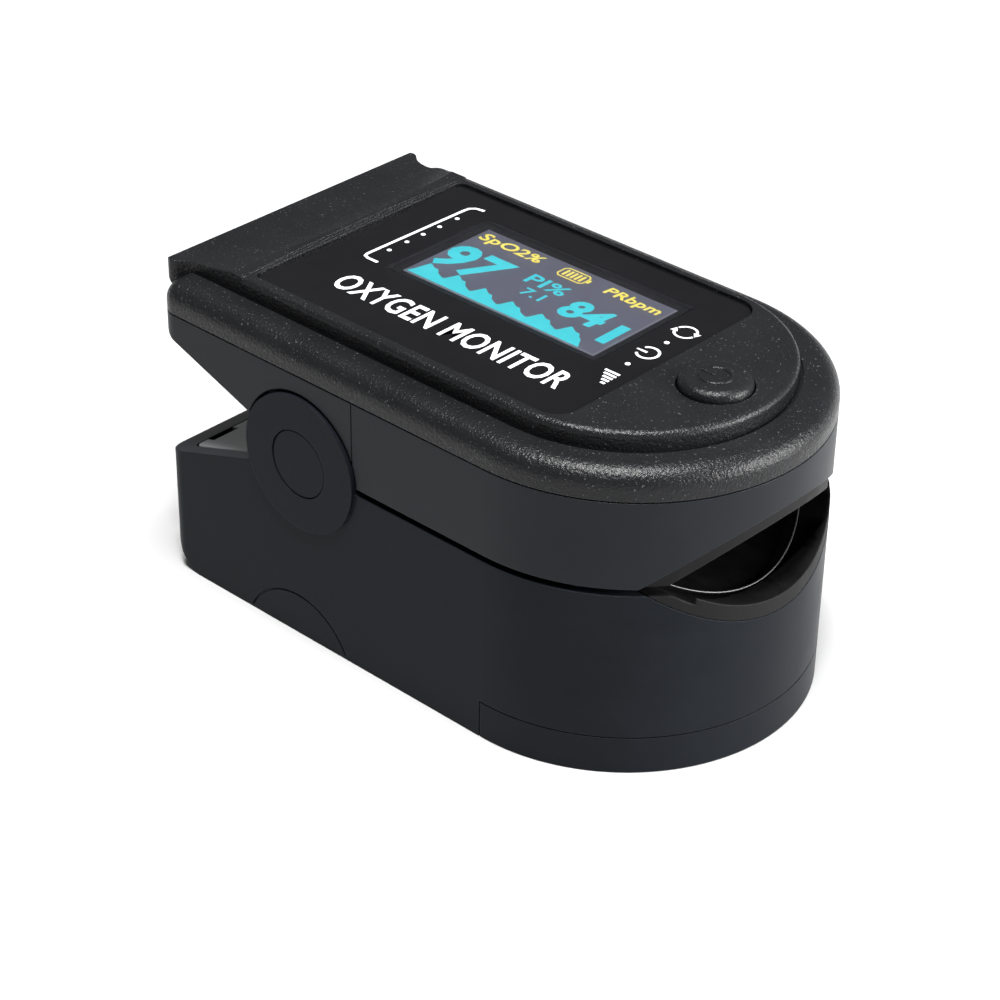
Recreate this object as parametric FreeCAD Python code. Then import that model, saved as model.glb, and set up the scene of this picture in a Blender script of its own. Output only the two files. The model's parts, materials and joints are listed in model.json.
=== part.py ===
"""Fingertip pulse oximeter: a two-half spring clip with a display, a button and a battery bay.

Row frame, millimetres: +X is the length and points at the finger mouth, +Z is up, the bottom
rests on z = 0 and the origin is under the middle of the body.
"""
import FreeCAD, Part
import math
import os

V = FreeCAD.Vector

# Outline of the body, seen from above: straight sides and a half-round nose.
HALF_WIDTH = 17.35
NOSE_X = 28.1
REAR_X = -28.1
REAR_CORNER = 2.0
WALL = 1.3
NOSE_CX = NOSE_X - HALF_WIDTH

# Heights where the housings meet.
SPLIT_LOW = 17.5
SPLIT_HIGH = 18.15
PARTING = 26.15
SHOULDER_TOP = 28.9
PLATEAU_TOP = 30.45
LABEL_TOP = 30.2

# Clearances.
RUNNING = 0.05
LOOSE = 0.15
EAR_GAP = 0.25

# Hinge.
HINGE_X = -10.5
HINGE_Z = 17.85
DISC_R = 6.45
DISC_PROUD = 0.3
POCKET_GAP = 0.3
CAP_R = 3.15
SHAFT_R = 1.2
LUG_R = 4.6
LUG_IN = 14.3
LUG_OUT = HALF_WIDTH - WALL - EAR_GAP
INNER_LUG_R = 3.0
INNER_LUG_IN = 12.9
INNER_LUG_OUT = 13.95
CHAMBER_R = 3.3
WRAP_R = 4.9
EAR_IN = HALF_WIDTH - WALL
EAR_OUT = HALF_WIDTH + DISC_PROUD

# Tails: the upper one slopes up towards the rear and the lower one slopes down.
UPPER_TAIL_SLOPE = 0.35
UPPER_TAIL_Z = 20.4
UPPER_TAIL_X = -16.9
RIM_SLOPE = 0.333
RIM_REAR_Z = 11.8
DECK_REAR_X = -25.9
DECK_T = 0.8
BOTTOM_ROUND_Z = 4.3
BOTTOM_ROUND_X = 4.5

# Top cover.
SHOULDER_R = 1.7
PLATEAU_INSET = 3.45
PLATEAU_EDGE_R = 0.55
GROOVE_W = 0.35
GROOVE_DEPTH = 0.3
TAIL_TOP_X = -20.9
CROWN_TOP = 30.85
THUMB_FRONT_X = -21.3
THUMB_DEPTH = 0.5
LIP_REAR_X = -29.5
LIP_TOP = 29.95
LIP_LOW = 28.3
LIP_ROOT_Z = 26.9
LIP_FLARE = 1.25
PARTING_GROOVE = 0.14
PARTING_GROOVE_DEPTH = 0.3
COVER_SKIN_Z = 28.75
PLATEAU_WALL = 1.1
SHOULDER_SKIN_Z = 27.5

# Label, its window and the display.
LABEL_X0 = -20.53
LABEL_X1 = 14.33
LABEL_HALF_W = 12.78
LABEL_REAR_R = 0.9
LABEL_FRONT_R = 2.2
LABEL_T = 0.6
LABEL_GAP = 0.1
WINDOW_X0 = -13.8
WINDOW_X1 = 9.94
WINDOW_Y0 = -3.55
WINDOW_Y1 = 9.31
PANEL_HALF_X = 13.35
PANEL_Y0 = -8.2
PANEL_Y1 = 11.06
PANEL_T = 1.45
PANEL_TOP = 29.5
SCREEN_HALF_X = 10.87
SCREEN_HALF_Y = 5.43
SCREEN_T = 0.06
BRACKET_RIM = 1.2

# Power button and the switch under it.
BUTTON_X = 19.7
BUTTON_R = 3.1
BUTTON_TOP = 31.3
BUTTON_EDGE_R = 0.75
BUTTON_GAP = 0.15
FLANGE_R = 3.45
FLANGE_Z = 27.95
FLANGE_T = 0.55
SWITCH_HALF = 2.3
SWITCH_T = 1.2
SWITCH_PLUNGER_R = 1.1
SWITCH_PLUNGER_TOP = 27.35
SWITCH_PLUNGER_LOW = 26.35

# Circuit board.
DECK_TOP = 24.3
BOARD_Z = 24.8
BOARD_T = 0.8
BOARD_REAR_X = -19.2
BOARD_INSET = 2.4
STANDOFF_R = 1.5
BOARD_SCREW_R = 0.7
BOARD_SCREW_HEAD_R = 1.3
BOARD_SCREW_HEAD_T = 0.6
BOARD_SCREW_POINTS = [(-13.0, 12.6), (-13.0, -12.6), (14.0, 10.6), (14.0, -10.6)]

# Moulded line on the upper frame's side, in front of the disc.
SIDE_LINE_X = 6.15
SIDE_LINE_W = 0.14

# Finger tunnel.
ARCH_R = 18.4
ARCH_TOP = 23.0
SCOOP_R = 17.7
SCOOP_LOW = 12.9
TUNNEL_X = -4.3
PAD_T = 1.25
PAD_END_T = 1.3
PAD_FIT = 0.05
LIP_T = 1.45
LIP_DEPTH = 2.4
TROUGH_T = 0.9

# Light source above the finger and light sensor below it.
SENSOR_X = 12.0
SENSOR_R = 2.6
SENSOR_FIT = 0.05

# Battery bay: two AAA cells side by side, just above the sliding door.
DOOR_Z = 0.05
DOOR_T = 1.15
CELL_R = 5.25
CELL_L = 44.5
CELL_LIFT = 0.25
CELL_APART = 0.4
NUB_L = 1.0
NUB_R = 2.75
CELL_Y = CELL_R + CELL_APART / 2
CELL_Z = DOOR_Z + DOOR_T + CELL_LIFT + CELL_R
CELL_FRONT_X = 22.0
BAY_TOP = 12.2
BAY_REAR_X = -24.4
CONTACT_T = 0.25
SPRING_L = 1.5
CONTACT_WIRE_R = 0.32
CONTACT_COIL_R = 1.3
DOOR_REAR_X = -20.0
DOOR_RIM_TOP = 3.5
DOOR_STEP_X = 10.45
DOOR_TONGUE = 0.6
SEAM = 0.12

# Housing screws.
LOWER_SCREW_POINTS = [(-19.0, 13.4), (-19.0, -13.4), (5.0, 13.4), (5.0, -13.4)]
UPPER_SCREW_POINTS = [(-22.5, 9.0), (-22.5, -9.0)]
SCREW_R = 0.9
SCREW_HEAD_R = 1.6
SCREW_HEAD_T = 0.95

# Torsion spring.
SPRING_WIRE_R = 0.32
SPRING_COIL_R = 2.1
SPRING_PITCH = 0.75
SPRING_TURNS = 5
SPRING_LEG_X = -18.5

# Flat lead that crosses the hinge.
LEAD_X = -8.0
LEAD_T = 0.16
LEAD_Y0 = 9.4
LEAD_Y1 = 12.4


def box(x0, x1, y0, y1, z0, z1):
    """Return a block between two corners."""
    return Part.makeBox(x1 - x0, y1 - y0, z1 - z0, V(x0, y0, z0))


def cyl_x(y, z, r, x0, x1):
    """Return a round bar along X."""
    return Part.makeCylinder(r, x1 - x0, V(x0, y, z), V(1, 0, 0))


def cyl_y(x, z, r, y0, y1):
    """Return a round bar along Y."""
    return Part.makeCylinder(r, y1 - y0, V(x, y0, z), V(0, 1, 0))


def cyl_z(x, y, r, z0, z1):
    """Return a round bar along Z."""
    return Part.makeCylinder(r, z1 - z0, V(x, y, z0), V(0, 0, 1))


def mirrored(shape):
    """Return the shape reflected to the other side of the body."""
    return shape.mirror(V(0, 0, 0), V(0, 1, 0))


def both_sides(shape):
    """Return the shape with its reflection, as one cutter."""
    return shape.fuse(mirrored(shape))


def arc(a, b, c):
    """Return the arc edge from a through b to c."""
    return Part.Arc(a, b, c).toShape()


def outline_face(inset, z, rear_x, corner):
    """Return the plan outline, moved inwards by inset, as a face."""
    half = HALF_WIDTH - inset
    k = corner * (1.0 - math.sqrt(0.5))
    p1 = V(rear_x + corner, -half, z)
    p2 = V(NOSE_CX, -half, z)
    p3 = V(NOSE_CX, half, z)
    p4 = V(rear_x + corner, half, z)
    p5 = V(rear_x, half - corner, z)
    p6 = V(rear_x, corner - half, z)
    edges = [
        Part.makeLine(p1, p2),
        arc(p2, V(NOSE_CX + half, 0, z), p3),
        Part.makeLine(p3, p4),
        arc(p4, V(rear_x + k, half - k, z), p5),
        Part.makeLine(p5, p6),
        arc(p6, V(rear_x + k, k - half, z), p1),
    ]
    return Part.Face(Part.Wire(edges))


def outline_solid(inset, z0, z1, rear_x=None, corner=None):
    """Return the plan outline, moved inwards by inset, raised from z0 to z1."""
    rear = REAR_X + inset if rear_x is None else rear_x
    radius = max(REAR_CORNER - inset, 0.6) if corner is None else corner
    return outline_face(inset, z0, rear, radius).extrude(V(0, 0, z1 - z0))


def side_prism(points, y0, y1):
    """Return a polygon of (x, z) points drawn on the side view and raised along Y."""
    corners = [V(x, y0, z) for x, z in points]
    wire = Part.makePolygon(corners + [corners[0]])
    return Part.Face(wire).extrude(V(0, y1 - y0, 0))


def rounded_plate(x0, x1, half_y, rear_r, front_r, z0, z1):
    """Return a plate with its own corner radius at the rear and at the front."""
    plate = box(x0, x1, -half_y, half_y, z0, z1)
    upright = [e for e in plate.Edges if abs(e.tangentAt(e.FirstParameter).z) > 0.99]
    rear = [e for e in upright if e.CenterOfMass.x < (x0 + x1) / 2]
    front = [e for e in upright if e.CenterOfMass.x > (x0 + x1) / 2]
    return plate.makeFillet(rear_r, rear).makeFillet(front_r, front)


def edges_at_height(shape, z):
    """Return the edges that lie flat at height z."""
    flat = []
    for edge in shape.Edges:
        bounds = edge.BoundBox
        if abs(bounds.ZMin - z) < 1e-4 and abs(bounds.ZMax - z) < 1e-4:
            flat.append(edge)
    return flat


def fused(shapes):
    """Return the shapes joined into one, with seams removed."""
    whole = shapes[0]
    for shape in shapes[1:]:
        whole = whole.fuse(shape)
    return whole.removeSplitter()


def cut_all(shape, cutters):
    """Return the shape with every cutter taken away."""
    for cutter in cutters:
        shape = shape.cut(cutter)
    return shape


def grouped(shapes):
    """Return separate solids held together as one named group."""
    return Part.makeCompound(shapes)


def screw(x, y, z_head, z_tip, r, head_r, head_t):
    """Return a pan-head screw whose head lies at z_head and whose tip is at z_tip."""
    down = z_tip < z_head
    if down:
        head = cyl_z(x, y, head_r, z_head, z_head + head_t)
        shank = cyl_z(x, y, r, z_tip, z_head)
        slot = box(x - head_r * 0.7, x + head_r * 0.7, y - 0.2, y + 0.2,
                   z_head + head_t - 0.35, z_head + head_t + 0.1)
        cross = box(x - 0.2, x + 0.2, y - head_r * 0.7, y + head_r * 0.7,
                    z_head + head_t - 0.35, z_head + head_t + 0.1)
    else:
        head = cyl_z(x, y, head_r, z_head - head_t, z_head)
        shank = cyl_z(x, y, r, z_head, z_tip)
        slot = box(x - head_r * 0.7, x + head_r * 0.7, y - 0.2, y + 0.2,
                   z_head - head_t - 0.1, z_head - head_t + 0.35)
        cross = box(x - 0.2, x + 0.2, y - head_r * 0.7, y + head_r * 0.7,
                    z_head - head_t - 0.1, z_head - head_t + 0.35)
    return fused([head, shank]).cut(slot).cut(cross)


def coil(radius, wire_r, pitch, turns, spread=0.0):
    """Return a round-wire coil standing on the origin along Z, its radius growing by spread."""
    height = pitch * turns
    cone = math.degrees(math.atan(spread / height))
    helix = Part.makeHelix(pitch, height, radius, cone)
    profile = Part.Wire(Part.makeCircle(wire_r, V(radius, 0, 0), V(0, 1, 0)))
    return Part.Wire(helix.Edges).makePipeShell([profile], True, True)


def rim_z(x):
    """Return the height of the lower tail's top edge at x."""
    return RIM_REAR_Z + RIM_SLOPE * (x - REAR_X)


def upper_tail_z(x):
    """Return the height of the upper tail's underside at x."""
    return UPPER_TAIL_Z - UPPER_TAIL_SLOPE * (x - UPPER_TAIL_X)


def rim_meets_split():
    """Return the x where the lower tail's edge reaches the split line."""
    return REAR_X + (SPLIT_LOW - RIM_REAR_Z) / RIM_SLOPE


def panel_centre_x():
    """Return the x of the display's middle."""
    return (WINDOW_X0 + WINDOW_X1) / 2


def screen_centre_y():
    """Return the y of the display window's middle."""
    return (WINDOW_Y0 + WINDOW_Y1) / 2


# Upper half.

def cover_outside():
    """Return the outer form of the top cover: shoulder, plateau and thumb rest."""
    shoulder = outline_solid(0.0, PARTING, SHOULDER_TOP)
    shoulder = shoulder.makeFillet(SHOULDER_R, edges_at_height(shoulder, SHOULDER_TOP))
    rear = REAR_X + LOOSE
    groove_out = outline_solid(PLATEAU_INSET - GROOVE_W, SHOULDER_TOP - GROOVE_DEPTH,
                               SHOULDER_TOP + 1, rear - 1.0, 2.5)
    shoulder = shoulder.cut(groove_out)
    plateau = outline_solid(PLATEAU_INSET, PARTING + 0.5, PLATEAU_TOP, rear, 2.4)
    plateau = plateau.makeFillet(PLATEAU_EDGE_R, edges_at_height(plateau, PLATEAU_TOP))
    plateau = plateau.cut(box(REAR_X - 1, TAIL_TOP_X, -20, 20, PARTING, PLATEAU_TOP + 1))
    crown_half = HALF_WIDTH - PLATEAU_INSET
    crown_sag = CROWN_TOP - PLATEAU_TOP
    crown_r = (crown_half ** 2 + crown_sag ** 2) / (2 * crown_sag)
    tail = outline_solid(PLATEAU_INSET, PARTING + 0.5, CROWN_TOP + 1, LIP_REAR_X, 2.0)
    tail = fused([tail, lip_corner(), mirrored(lip_corner())])
    tail = tail.common(tail_side())
    tail = tail.common(cyl_x(0, CROWN_TOP - crown_r, crown_r, LIP_REAR_X - 1, TAIL_TOP_X + 1))
    groove = outline_solid(0.0, PARTING, PARTING + PARTING_GROOVE)
    groove = groove.cut(outline_solid(PARTING_GROOVE_DEPTH, PARTING - 1, PARTING + 1))
    return fused([shoulder, plateau, tail.cut(thumb_trough())]).cut(groove)


def tail_side():
    """Return the side form of the crown: it overhangs the rear and ends in a rounded lip."""
    profile = [
        (TAIL_TOP_X, PARTING),
        (TAIL_TOP_X, CROWN_TOP + 1),
        (LIP_REAR_X + 1.5, CROWN_TOP + 1),
        (LIP_REAR_X + 0.75, LIP_TOP + 0.06),
        (LIP_REAR_X + 0.3, LIP_TOP - 0.12),
        (LIP_REAR_X + 0.06, LIP_TOP - 0.42),
        (LIP_REAR_X, LIP_TOP - 0.8),
        (LIP_REAR_X + 0.1, LIP_LOW),
        (LIP_REAR_X + 0.45, LIP_LOW - 0.4),
        (REAR_X - 0.2, LIP_ROOT_Z + 0.35),
        (REAR_X + 0.3, LIP_ROOT_Z),
        (REAR_X + 0.3, PARTING),
    ]
    half = HALF_WIDTH + 1
    return side_prism(profile, -half, half)


def lip_corner():
    """Return the corner where the crown's side spreads outwards at the lip, on +Y."""
    side = HALF_WIDTH - PLATEAU_INSET
    rear = LIP_REAR_X
    points = [(rear + 4.5, side), (rear + 2.9, side + 0.15), (rear + 1.7, side + 0.65),
              (rear + 0.8, side + LIP_FLARE), (rear + 0.2, side + LIP_FLARE - 0.25),
              (rear, side + LIP_FLARE - 0.9)]
    edge = Part.BSplineCurve()
    edge.interpolate([V(x, y, PARTING + 0.5) for x, y in points])
    first = V(points[0][0], points[0][1], PARTING + 0.5)
    last = V(points[-1][0], points[-1][1], PARTING + 0.5)
    inner = [last, V(rear, side - 3.0, PARTING + 0.5), V(first.x, side - 3.0, PARTING + 0.5), first]
    wire = Part.Wire([edge.toShape()] + Part.makePolygon(inner).Edges)
    return Part.Face(wire).extrude(V(0, 0, CROWN_TOP + 0.5 - PARTING))


def thumb_trough():
    """Return the shallow round hollow for the thumb, from the label's step to the lip."""
    run = LIP_REAR_X - 0.4 - THUMB_FRONT_X
    drop = LIP_TOP - CROWN_TOP
    chord = math.hypot(run, drop)
    radius = (chord ** 2 / 4 + THUMB_DEPTH ** 2) / (2 * THUMB_DEPTH)
    lift = radius - THUMB_DEPTH
    x = THUMB_FRONT_X + run / 2 + lift * drop / chord
    z = CROWN_TOP + drop / 2 - lift * run / chord
    return cyl_y(x, z, radius, -20, 20)


def cover_cavity():
    """Return the space inside the top cover."""
    low = outline_solid(WALL, PARTING - 1, SHOULDER_SKIN_Z)
    high = outline_solid(PLATEAU_INSET + PLATEAU_WALL, PARTING, COVER_SKIN_Z,
                         REAR_X + 2 * WALL, 1.2)
    return low.fuse(high)


def make_top_cover():
    """Return the top cover with its label recess, display opening and screw bosses."""
    cover = cover_outside().cut(cover_cavity())
    recess = rounded_plate(LABEL_X0 - LABEL_GAP, LABEL_X1 + LABEL_GAP, LABEL_HALF_W + LABEL_GAP,
                           LABEL_REAR_R, LABEL_FRONT_R, LABEL_TOP - LABEL_T, CROWN_TOP + 1)
    opening = box(panel_centre_x() - PANEL_HALF_X - LOOSE, panel_centre_x() + PANEL_HALF_X + LOOSE,
                  PANEL_Y0 - LOOSE, PANEL_Y1 + LOOSE, COVER_SKIN_Z - 1, LABEL_TOP)
    hole = cyl_z(BUTTON_X, 0, BUTTON_R + BUTTON_GAP, PARTING, PLATEAU_TOP + 1)
    bosses = []
    pilots = []
    for x, y in UPPER_SCREW_POINTS:
        bosses.append(cyl_z(x, y, 2.2, DECK_TOP + 0.7, COVER_SKIN_Z + 0.3))
        pilots.append(cyl_z(x, y, SCREW_R + RUNNING, DECK_TOP, COVER_SKIN_Z - 0.2))
    return cut_all(fused([cover] + bosses), [recess, opening, hole] + pilots)


def window_block(grow, z0, z1):
    """Return the display window's outline as a block, grown by a clearance."""
    return box(WINDOW_X0 - grow, WINDOW_X1 + grow, WINDOW_Y0 - grow, WINDOW_Y1 + grow, z0, z1)


def make_label_plate():
    """Return the glossy label plate with its display opening."""
    plate = rounded_plate(LABEL_X0, LABEL_X1, LABEL_HALF_W, LABEL_REAR_R, LABEL_FRONT_R,
                          LABEL_TOP - LABEL_T + 0.01, LABEL_TOP)
    return plate.cut(window_block(RUNNING, PARTING, LABEL_TOP + 1))


def make_display_window():
    """Return the clear window that fills the label's opening."""
    return window_block(0.0, LABEL_TOP - LABEL_T + 0.01, LABEL_TOP)


def make_display_panel():
    """Return the display's glass sandwich."""
    cx = panel_centre_x()
    return box(cx - PANEL_HALF_X, cx + PANEL_HALF_X, PANEL_Y0, PANEL_Y1,
               PANEL_TOP - PANEL_T, PANEL_TOP)


def make_display_screen():
    """Return the lit area of the display, a thin layer on the panel."""
    cx = panel_centre_x()
    cy = screen_centre_y()
    return box(cx - SCREEN_HALF_X, cx + SCREEN_HALF_X, cy - SCREEN_HALF_Y, cy + SCREEN_HALF_Y,
               PANEL_TOP + 0.005, PANEL_TOP + SCREEN_T)


def make_display_bracket():
    """Return the frame that holds the display up from the board."""
    cx = panel_centre_x()
    low = BOARD_Z + BOARD_T + 0.02
    high = PANEL_TOP - PANEL_T - 0.03
    outer = box(cx - PANEL_HALF_X, cx + PANEL_HALF_X, PANEL_Y0, PANEL_Y1, low, high)
    inner = box(cx - PANEL_HALF_X + BRACKET_RIM, cx + PANEL_HALF_X - BRACKET_RIM,
                PANEL_Y0 + BRACKET_RIM, PANEL_Y1 - BRACKET_RIM, low - 1, high + 1)
    return outer.cut(inner)


def make_display_ribbon():
    """Return the flat ribbon from the display down to the board."""
    cx = panel_centre_x()
    top = PANEL_TOP - PANEL_T + 0.3
    low = BOARD_Z + BOARD_T + 0.02
    flat = box(cx - 5, cx + 5, PANEL_Y0 - 2.2, PANEL_Y0 - 0.02, top, top + LEAD_T)
    drop = box(cx - 5, cx + 5, PANEL_Y0 - 2.2, PANEL_Y0 - 2.2 + LEAD_T, low, top)
    foot = box(cx - 5, cx + 5, PANEL_Y0 - 2.2, PANEL_Y0 - 0.4, low, low + LEAD_T)
    return fused([flat, drop, foot])


def board_outline(z0, z1):
    """Return the circuit board's plan raised from z0 to z1."""
    return outline_solid(BOARD_INSET, z0, z1, BOARD_REAR_X, 1.0)


def make_main_board():
    """Return the circuit board with its screw holes and hinge-lead slot."""
    board = board_outline(BOARD_Z, BOARD_Z + BOARD_T)
    holes = [cyl_z(x, y, BOARD_SCREW_R + 0.1, BOARD_Z - 1, BOARD_Z + 2)
             for x, y in BOARD_SCREW_POINTS]
    web_room = box(HINGE_X - DISC_R - 2.0, HINGE_X + DISC_R + 2.0, LUG_IN - LOOSE, HALF_WIDTH,
                   BOARD_Z - 1, BOARD_Z + 2)
    return cut_all(board, holes + [both_sides(web_room)])


def make_board_screws():
    """Return the small screws that hold the board."""
    top = BOARD_Z + BOARD_T
    return grouped([screw(x, y, top + 0.01, DECK_TOP - 0.8, BOARD_SCREW_R, BOARD_SCREW_HEAD_R,
                          BOARD_SCREW_HEAD_T) for x, y in BOARD_SCREW_POINTS])


def chip(x, y, half_x, half_y, height):
    """Return one block that sits on the board."""
    low = BOARD_Z + BOARD_T + 0.01
    return box(x - half_x, x + half_x, y - half_y, y + half_y, low, low + height)


def make_processor_chip():
    """Return the processor's package."""
    package = chip(panel_centre_x(), 1.5, 3.5, 3.5, 0.9)
    mark = cyl_z(panel_centre_x() - 2.6, -1.1, 0.35, BOARD_Z + BOARD_T + 0.8, BOARD_Z + 3)
    return package.cut(mark)


def make_crystal_can():
    """Return the clock crystal's metal can."""
    can = chip(6.5, 6.0, 1.6, 1.0, 0.8)
    upright = [e for e in can.Edges if abs(e.tangentAt(e.FirstParameter).z) > 0.99]
    return can.makeFillet(0.5, upright)


def make_buzzer():
    """Return the small round beeper."""
    low = BOARD_Z + BOARD_T + 0.01
    body = cyl_z(18.2, 6.4, 2.2, low, low + 1.7)
    return body.cut(cyl_z(18.2, 6.4, 0.5, low + 1.2, low + 2))


def make_board_parts():
    """Return the row of small chips and passives on the board."""
    parts = []
    for i in range(6):
        parts.append(chip(-11.5 + 2.0 * i, -4.6, 0.5, 0.3, 0.4))
    for i in range(4):
        parts.append(chip(-11.0, 0.0 + 1.6 * i, 0.8, 0.5, 0.5))
    parts.append(chip(5.5, 1.0, 1.5, 2.0, 0.8))
    parts.append(chip(-17.2, 0.0, 1.2, 2.4, 1.0))
    return grouped(parts)


def make_switch_body():
    """Return the push switch under the button, with the bore its plunger moves in."""
    body = chip(BUTTON_X, 0.0, SWITCH_HALF, SWITCH_HALF, SWITCH_T)
    bore_low = BOARD_Z + BOARD_T + 0.25
    return body.cut(cyl_z(BUTTON_X, 0, SWITCH_PLUNGER_R + RUNNING, bore_low, PARTING + 2))


def make_switch_plunger():
    """Return the moving plunger of the push switch."""
    return cyl_z(BUTTON_X, 0, SWITCH_PLUNGER_R, SWITCH_PLUNGER_LOW, SWITCH_PLUNGER_TOP)


def make_power_button():
    """Return the button cap with its flange and its pushing stub."""
    cap = cyl_z(BUTTON_X, 0, BUTTON_R, FLANGE_Z, BUTTON_TOP)
    cap = cap.makeFillet(BUTTON_EDGE_R, edges_at_height(cap, BUTTON_TOP))
    flange = cyl_z(BUTTON_X, 0, FLANGE_R, FLANGE_Z, FLANGE_Z + FLANGE_T)
    stub = cyl_z(BUTTON_X, 0, SWITCH_PLUNGER_R, SWITCH_PLUNGER_TOP + 0.01, FLANGE_Z + 0.1)
    return fused([cap, flange, stub])


def upper_frame_outside():
    """Return the outer form of the upper frame with its arch-free underside."""
    bottom_x = HINGE_X - DISC_R + 1.5
    profile = [
        (REAR_X - 1, PARTING),
        (REAR_X - 1, 25.3),
        (REAR_X, 25.3),
        (REAR_X + 0.3, 24.65),
        (REAR_X + 0.9, upper_tail_z(REAR_X + 0.9) + 0.15),
        (REAR_X + 1.6, upper_tail_z(REAR_X + 1.6)),
        (bottom_x, upper_tail_z(bottom_x)),
        (bottom_x + 0.8, SPLIT_HIGH),
        (NOSE_X + 1, SPLIT_HIGH),
        (NOSE_X + 1, PARTING),
    ]
    prism = side_prism(profile, -HALF_WIDTH - 1, HALF_WIDTH + 1)
    return outline_solid(0.0, SPLIT_HIGH - 1, PARTING).common(prism)


def upper_frame_cavity():
    """Return the space above the upper frame's deck."""
    profile = [
        (REAR_X + WALL, PARTING + 1),
        (REAR_X + WALL, 25.15),
        (-18.2, upper_tail_z(-18.2) + 1.35),
        (-16.5, upper_tail_z(-18.2) + 1.35),
        (-14.5, DECK_TOP),
        (NOSE_X, DECK_TOP),
        (NOSE_X, PARTING + 1),
    ]
    prism = side_prism(profile, -HALF_WIDTH, HALF_WIDTH)
    return outline_solid(WALL, SPLIT_HIGH, PARTING + 1).common(prism)


def hinge_web():
    """Return one inner wall that carries the hinge lug."""
    web = cyl_y(HINGE_X, HINGE_Z, DISC_R + 1.5, LUG_IN, LUG_OUT)
    profile = [
        (HINGE_X - 9, upper_tail_z(HINGE_X - 9)),
        (HINGE_X - 5, upper_tail_z(HINGE_X - 5)),
        (HINGE_X - 4, SPLIT_HIGH),
        (HINGE_X + 9, SPLIT_HIGH),
        (HINGE_X + 9, PARTING),
        (HINGE_X - 9, PARTING),
    ]
    web = web.common(side_prism(profile, 0, HALF_WIDTH))
    return web.fuse(cyl_y(HINGE_X, HINGE_Z, LUG_R, LUG_IN, LUG_OUT))


def rail_core():
    """Return the hollow beside the arch that keeps the frame's walls thin."""
    core = box(-2.0, 12.0, -HALF_WIDTH + WALL, HALF_WIDTH - WALL, SPLIT_HIGH + 1.25, DECK_TOP + 1)
    return core.cut(cyl_x(0, ARCH_TOP - ARCH_R, ARCH_R + WALL, -5, 15))


def make_upper_frame():
    """Return the upper frame: side walls, arch, tail underside and hinge lugs."""
    frame = upper_frame_outside()
    chamber = cyl_y(HINGE_X, HINGE_Z, WRAP_R, -LUG_IN + LOOSE, LUG_IN - LOOSE)
    pocket = cyl_y(HINGE_X, HINGE_Z, DISC_R + POCKET_GAP, LUG_OUT + 0.1, HALF_WIDTH + 2)
    arch = cyl_x(0, ARCH_TOP - ARCH_R, ARCH_R, TUNNEL_X, NOSE_X + 2)
    line_x = HINGE_X + SIDE_LINE_X
    panel = box(line_x, line_x + SIDE_LINE_W, HALF_WIDTH - SIDE_LINE_W, HALF_WIDTH + 1,
                SPLIT_HIGH - 2, PARTING + 1)
    frame = cut_all(frame, [upper_frame_cavity(), rail_core(), chamber, both_sides(pocket), arch,
                            both_sides(panel)])
    stop = cyl_z(18.0, 14.2, 0.8, SPLIT_LOW + RUNNING, SPLIT_HIGH + 0.3)
    posts = [cyl_z(x, y, STANDOFF_R, DECK_TOP - 0.2, BOARD_Z - 0.01)
             for x, y in BOARD_SCREW_POINTS]
    bosses = [cyl_z(x, y, 2.4, 22.8, DECK_TOP + 0.6) for x, y in UPPER_SCREW_POINTS]
    frame = fused([frame, hinge_web(), mirrored(hinge_web()), stop, mirrored(stop)]
                  + posts + bosses)
    return cut_all(frame, upper_frame_holes())


def upper_frame_holes():
    """Return the holes in the upper frame: screws, shaft, light source, lead and spring leg."""
    holes = []
    for x, y in BOARD_SCREW_POINTS:
        holes.append(cyl_z(x, y, BOARD_SCREW_R + RUNNING, DECK_TOP - 1.0, BOARD_Z + 1))
    for x, y in UPPER_SCREW_POINTS:
        holes.append(cyl_z(x, y, SCREW_R + 0.1, 20.0, DECK_TOP + 2))
        holes.append(cyl_z(x, y, SCREW_HEAD_R + LOOSE, 18.0, 23.9))
        holes.append(cyl_z(x, y, 3.0, DECK_TOP + 0.6, PARTING + 1))
    holes.append(cyl_y(HINGE_X, HINGE_Z, SHAFT_R + RUNNING, -HALF_WIDTH, HALF_WIDTH))
    holes.append(box(SENSOR_X - 5.1, SENSOR_X + 5.1, -3.1, 3.1, 23.55, DECK_TOP + 1))
    holes.append(box(SENSOR_X - 2.6, SENSOR_X + 2.6, -1.6, 1.6, ARCH_TOP - 1, DECK_TOP))
    holes.append(box(LEAD_X - 0.4, LEAD_X + 0.4, LEAD_Y0 - 0.2, LEAD_Y1 + 0.2,
                     HINGE_Z + 1, DECK_TOP + 1))
    leg_y = SPRING_PITCH * SPRING_TURNS / 2
    leg_z = HINGE_Z + SPRING_COIL_R
    holes.append(box(SPRING_LEG_X - 0.4, HINGE_X, leg_y - 0.6, leg_y + 0.6,
                     SPLIT_HIGH - 1, leg_z + SPRING_WIRE_R + RUNNING))
    return holes


def make_upper_finger_pad():
    """Return the soft pad that lines the upper half of the finger tunnel."""
    axis_z = ARCH_TOP - ARCH_R
    skin = cyl_x(0, axis_z, ARCH_R - PAD_FIT, TUNNEL_X + PAD_FIT, NOSE_X + 2)
    hollow = cyl_x(0, axis_z, ARCH_R - PAD_FIT - PAD_T, TUNNEL_X + PAD_END_T, NOSE_X + 3)
    pad = skin.cut(hollow).common(outline_solid(0.35, SPLIT_HIGH + PAD_FIT, ARCH_TOP + 1))
    return pad.cut(cyl_z(SENSOR_X, 0, SENSOR_R + SENSOR_FIT, SPLIT_HIGH, ARCH_TOP + 1))


def make_emitter_window():
    """Return the clear window over the light source."""
    return cyl_z(SENSOR_X, 0, SENSOR_R, ARCH_TOP - PAD_T, ARCH_TOP - 0.25)


def make_emitter_board():
    """Return the small board that carries the light sources."""
    return box(SENSOR_X - 5.0, SENSOR_X + 5.0, -3.0, 3.0, 23.6, 24.2)


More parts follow.
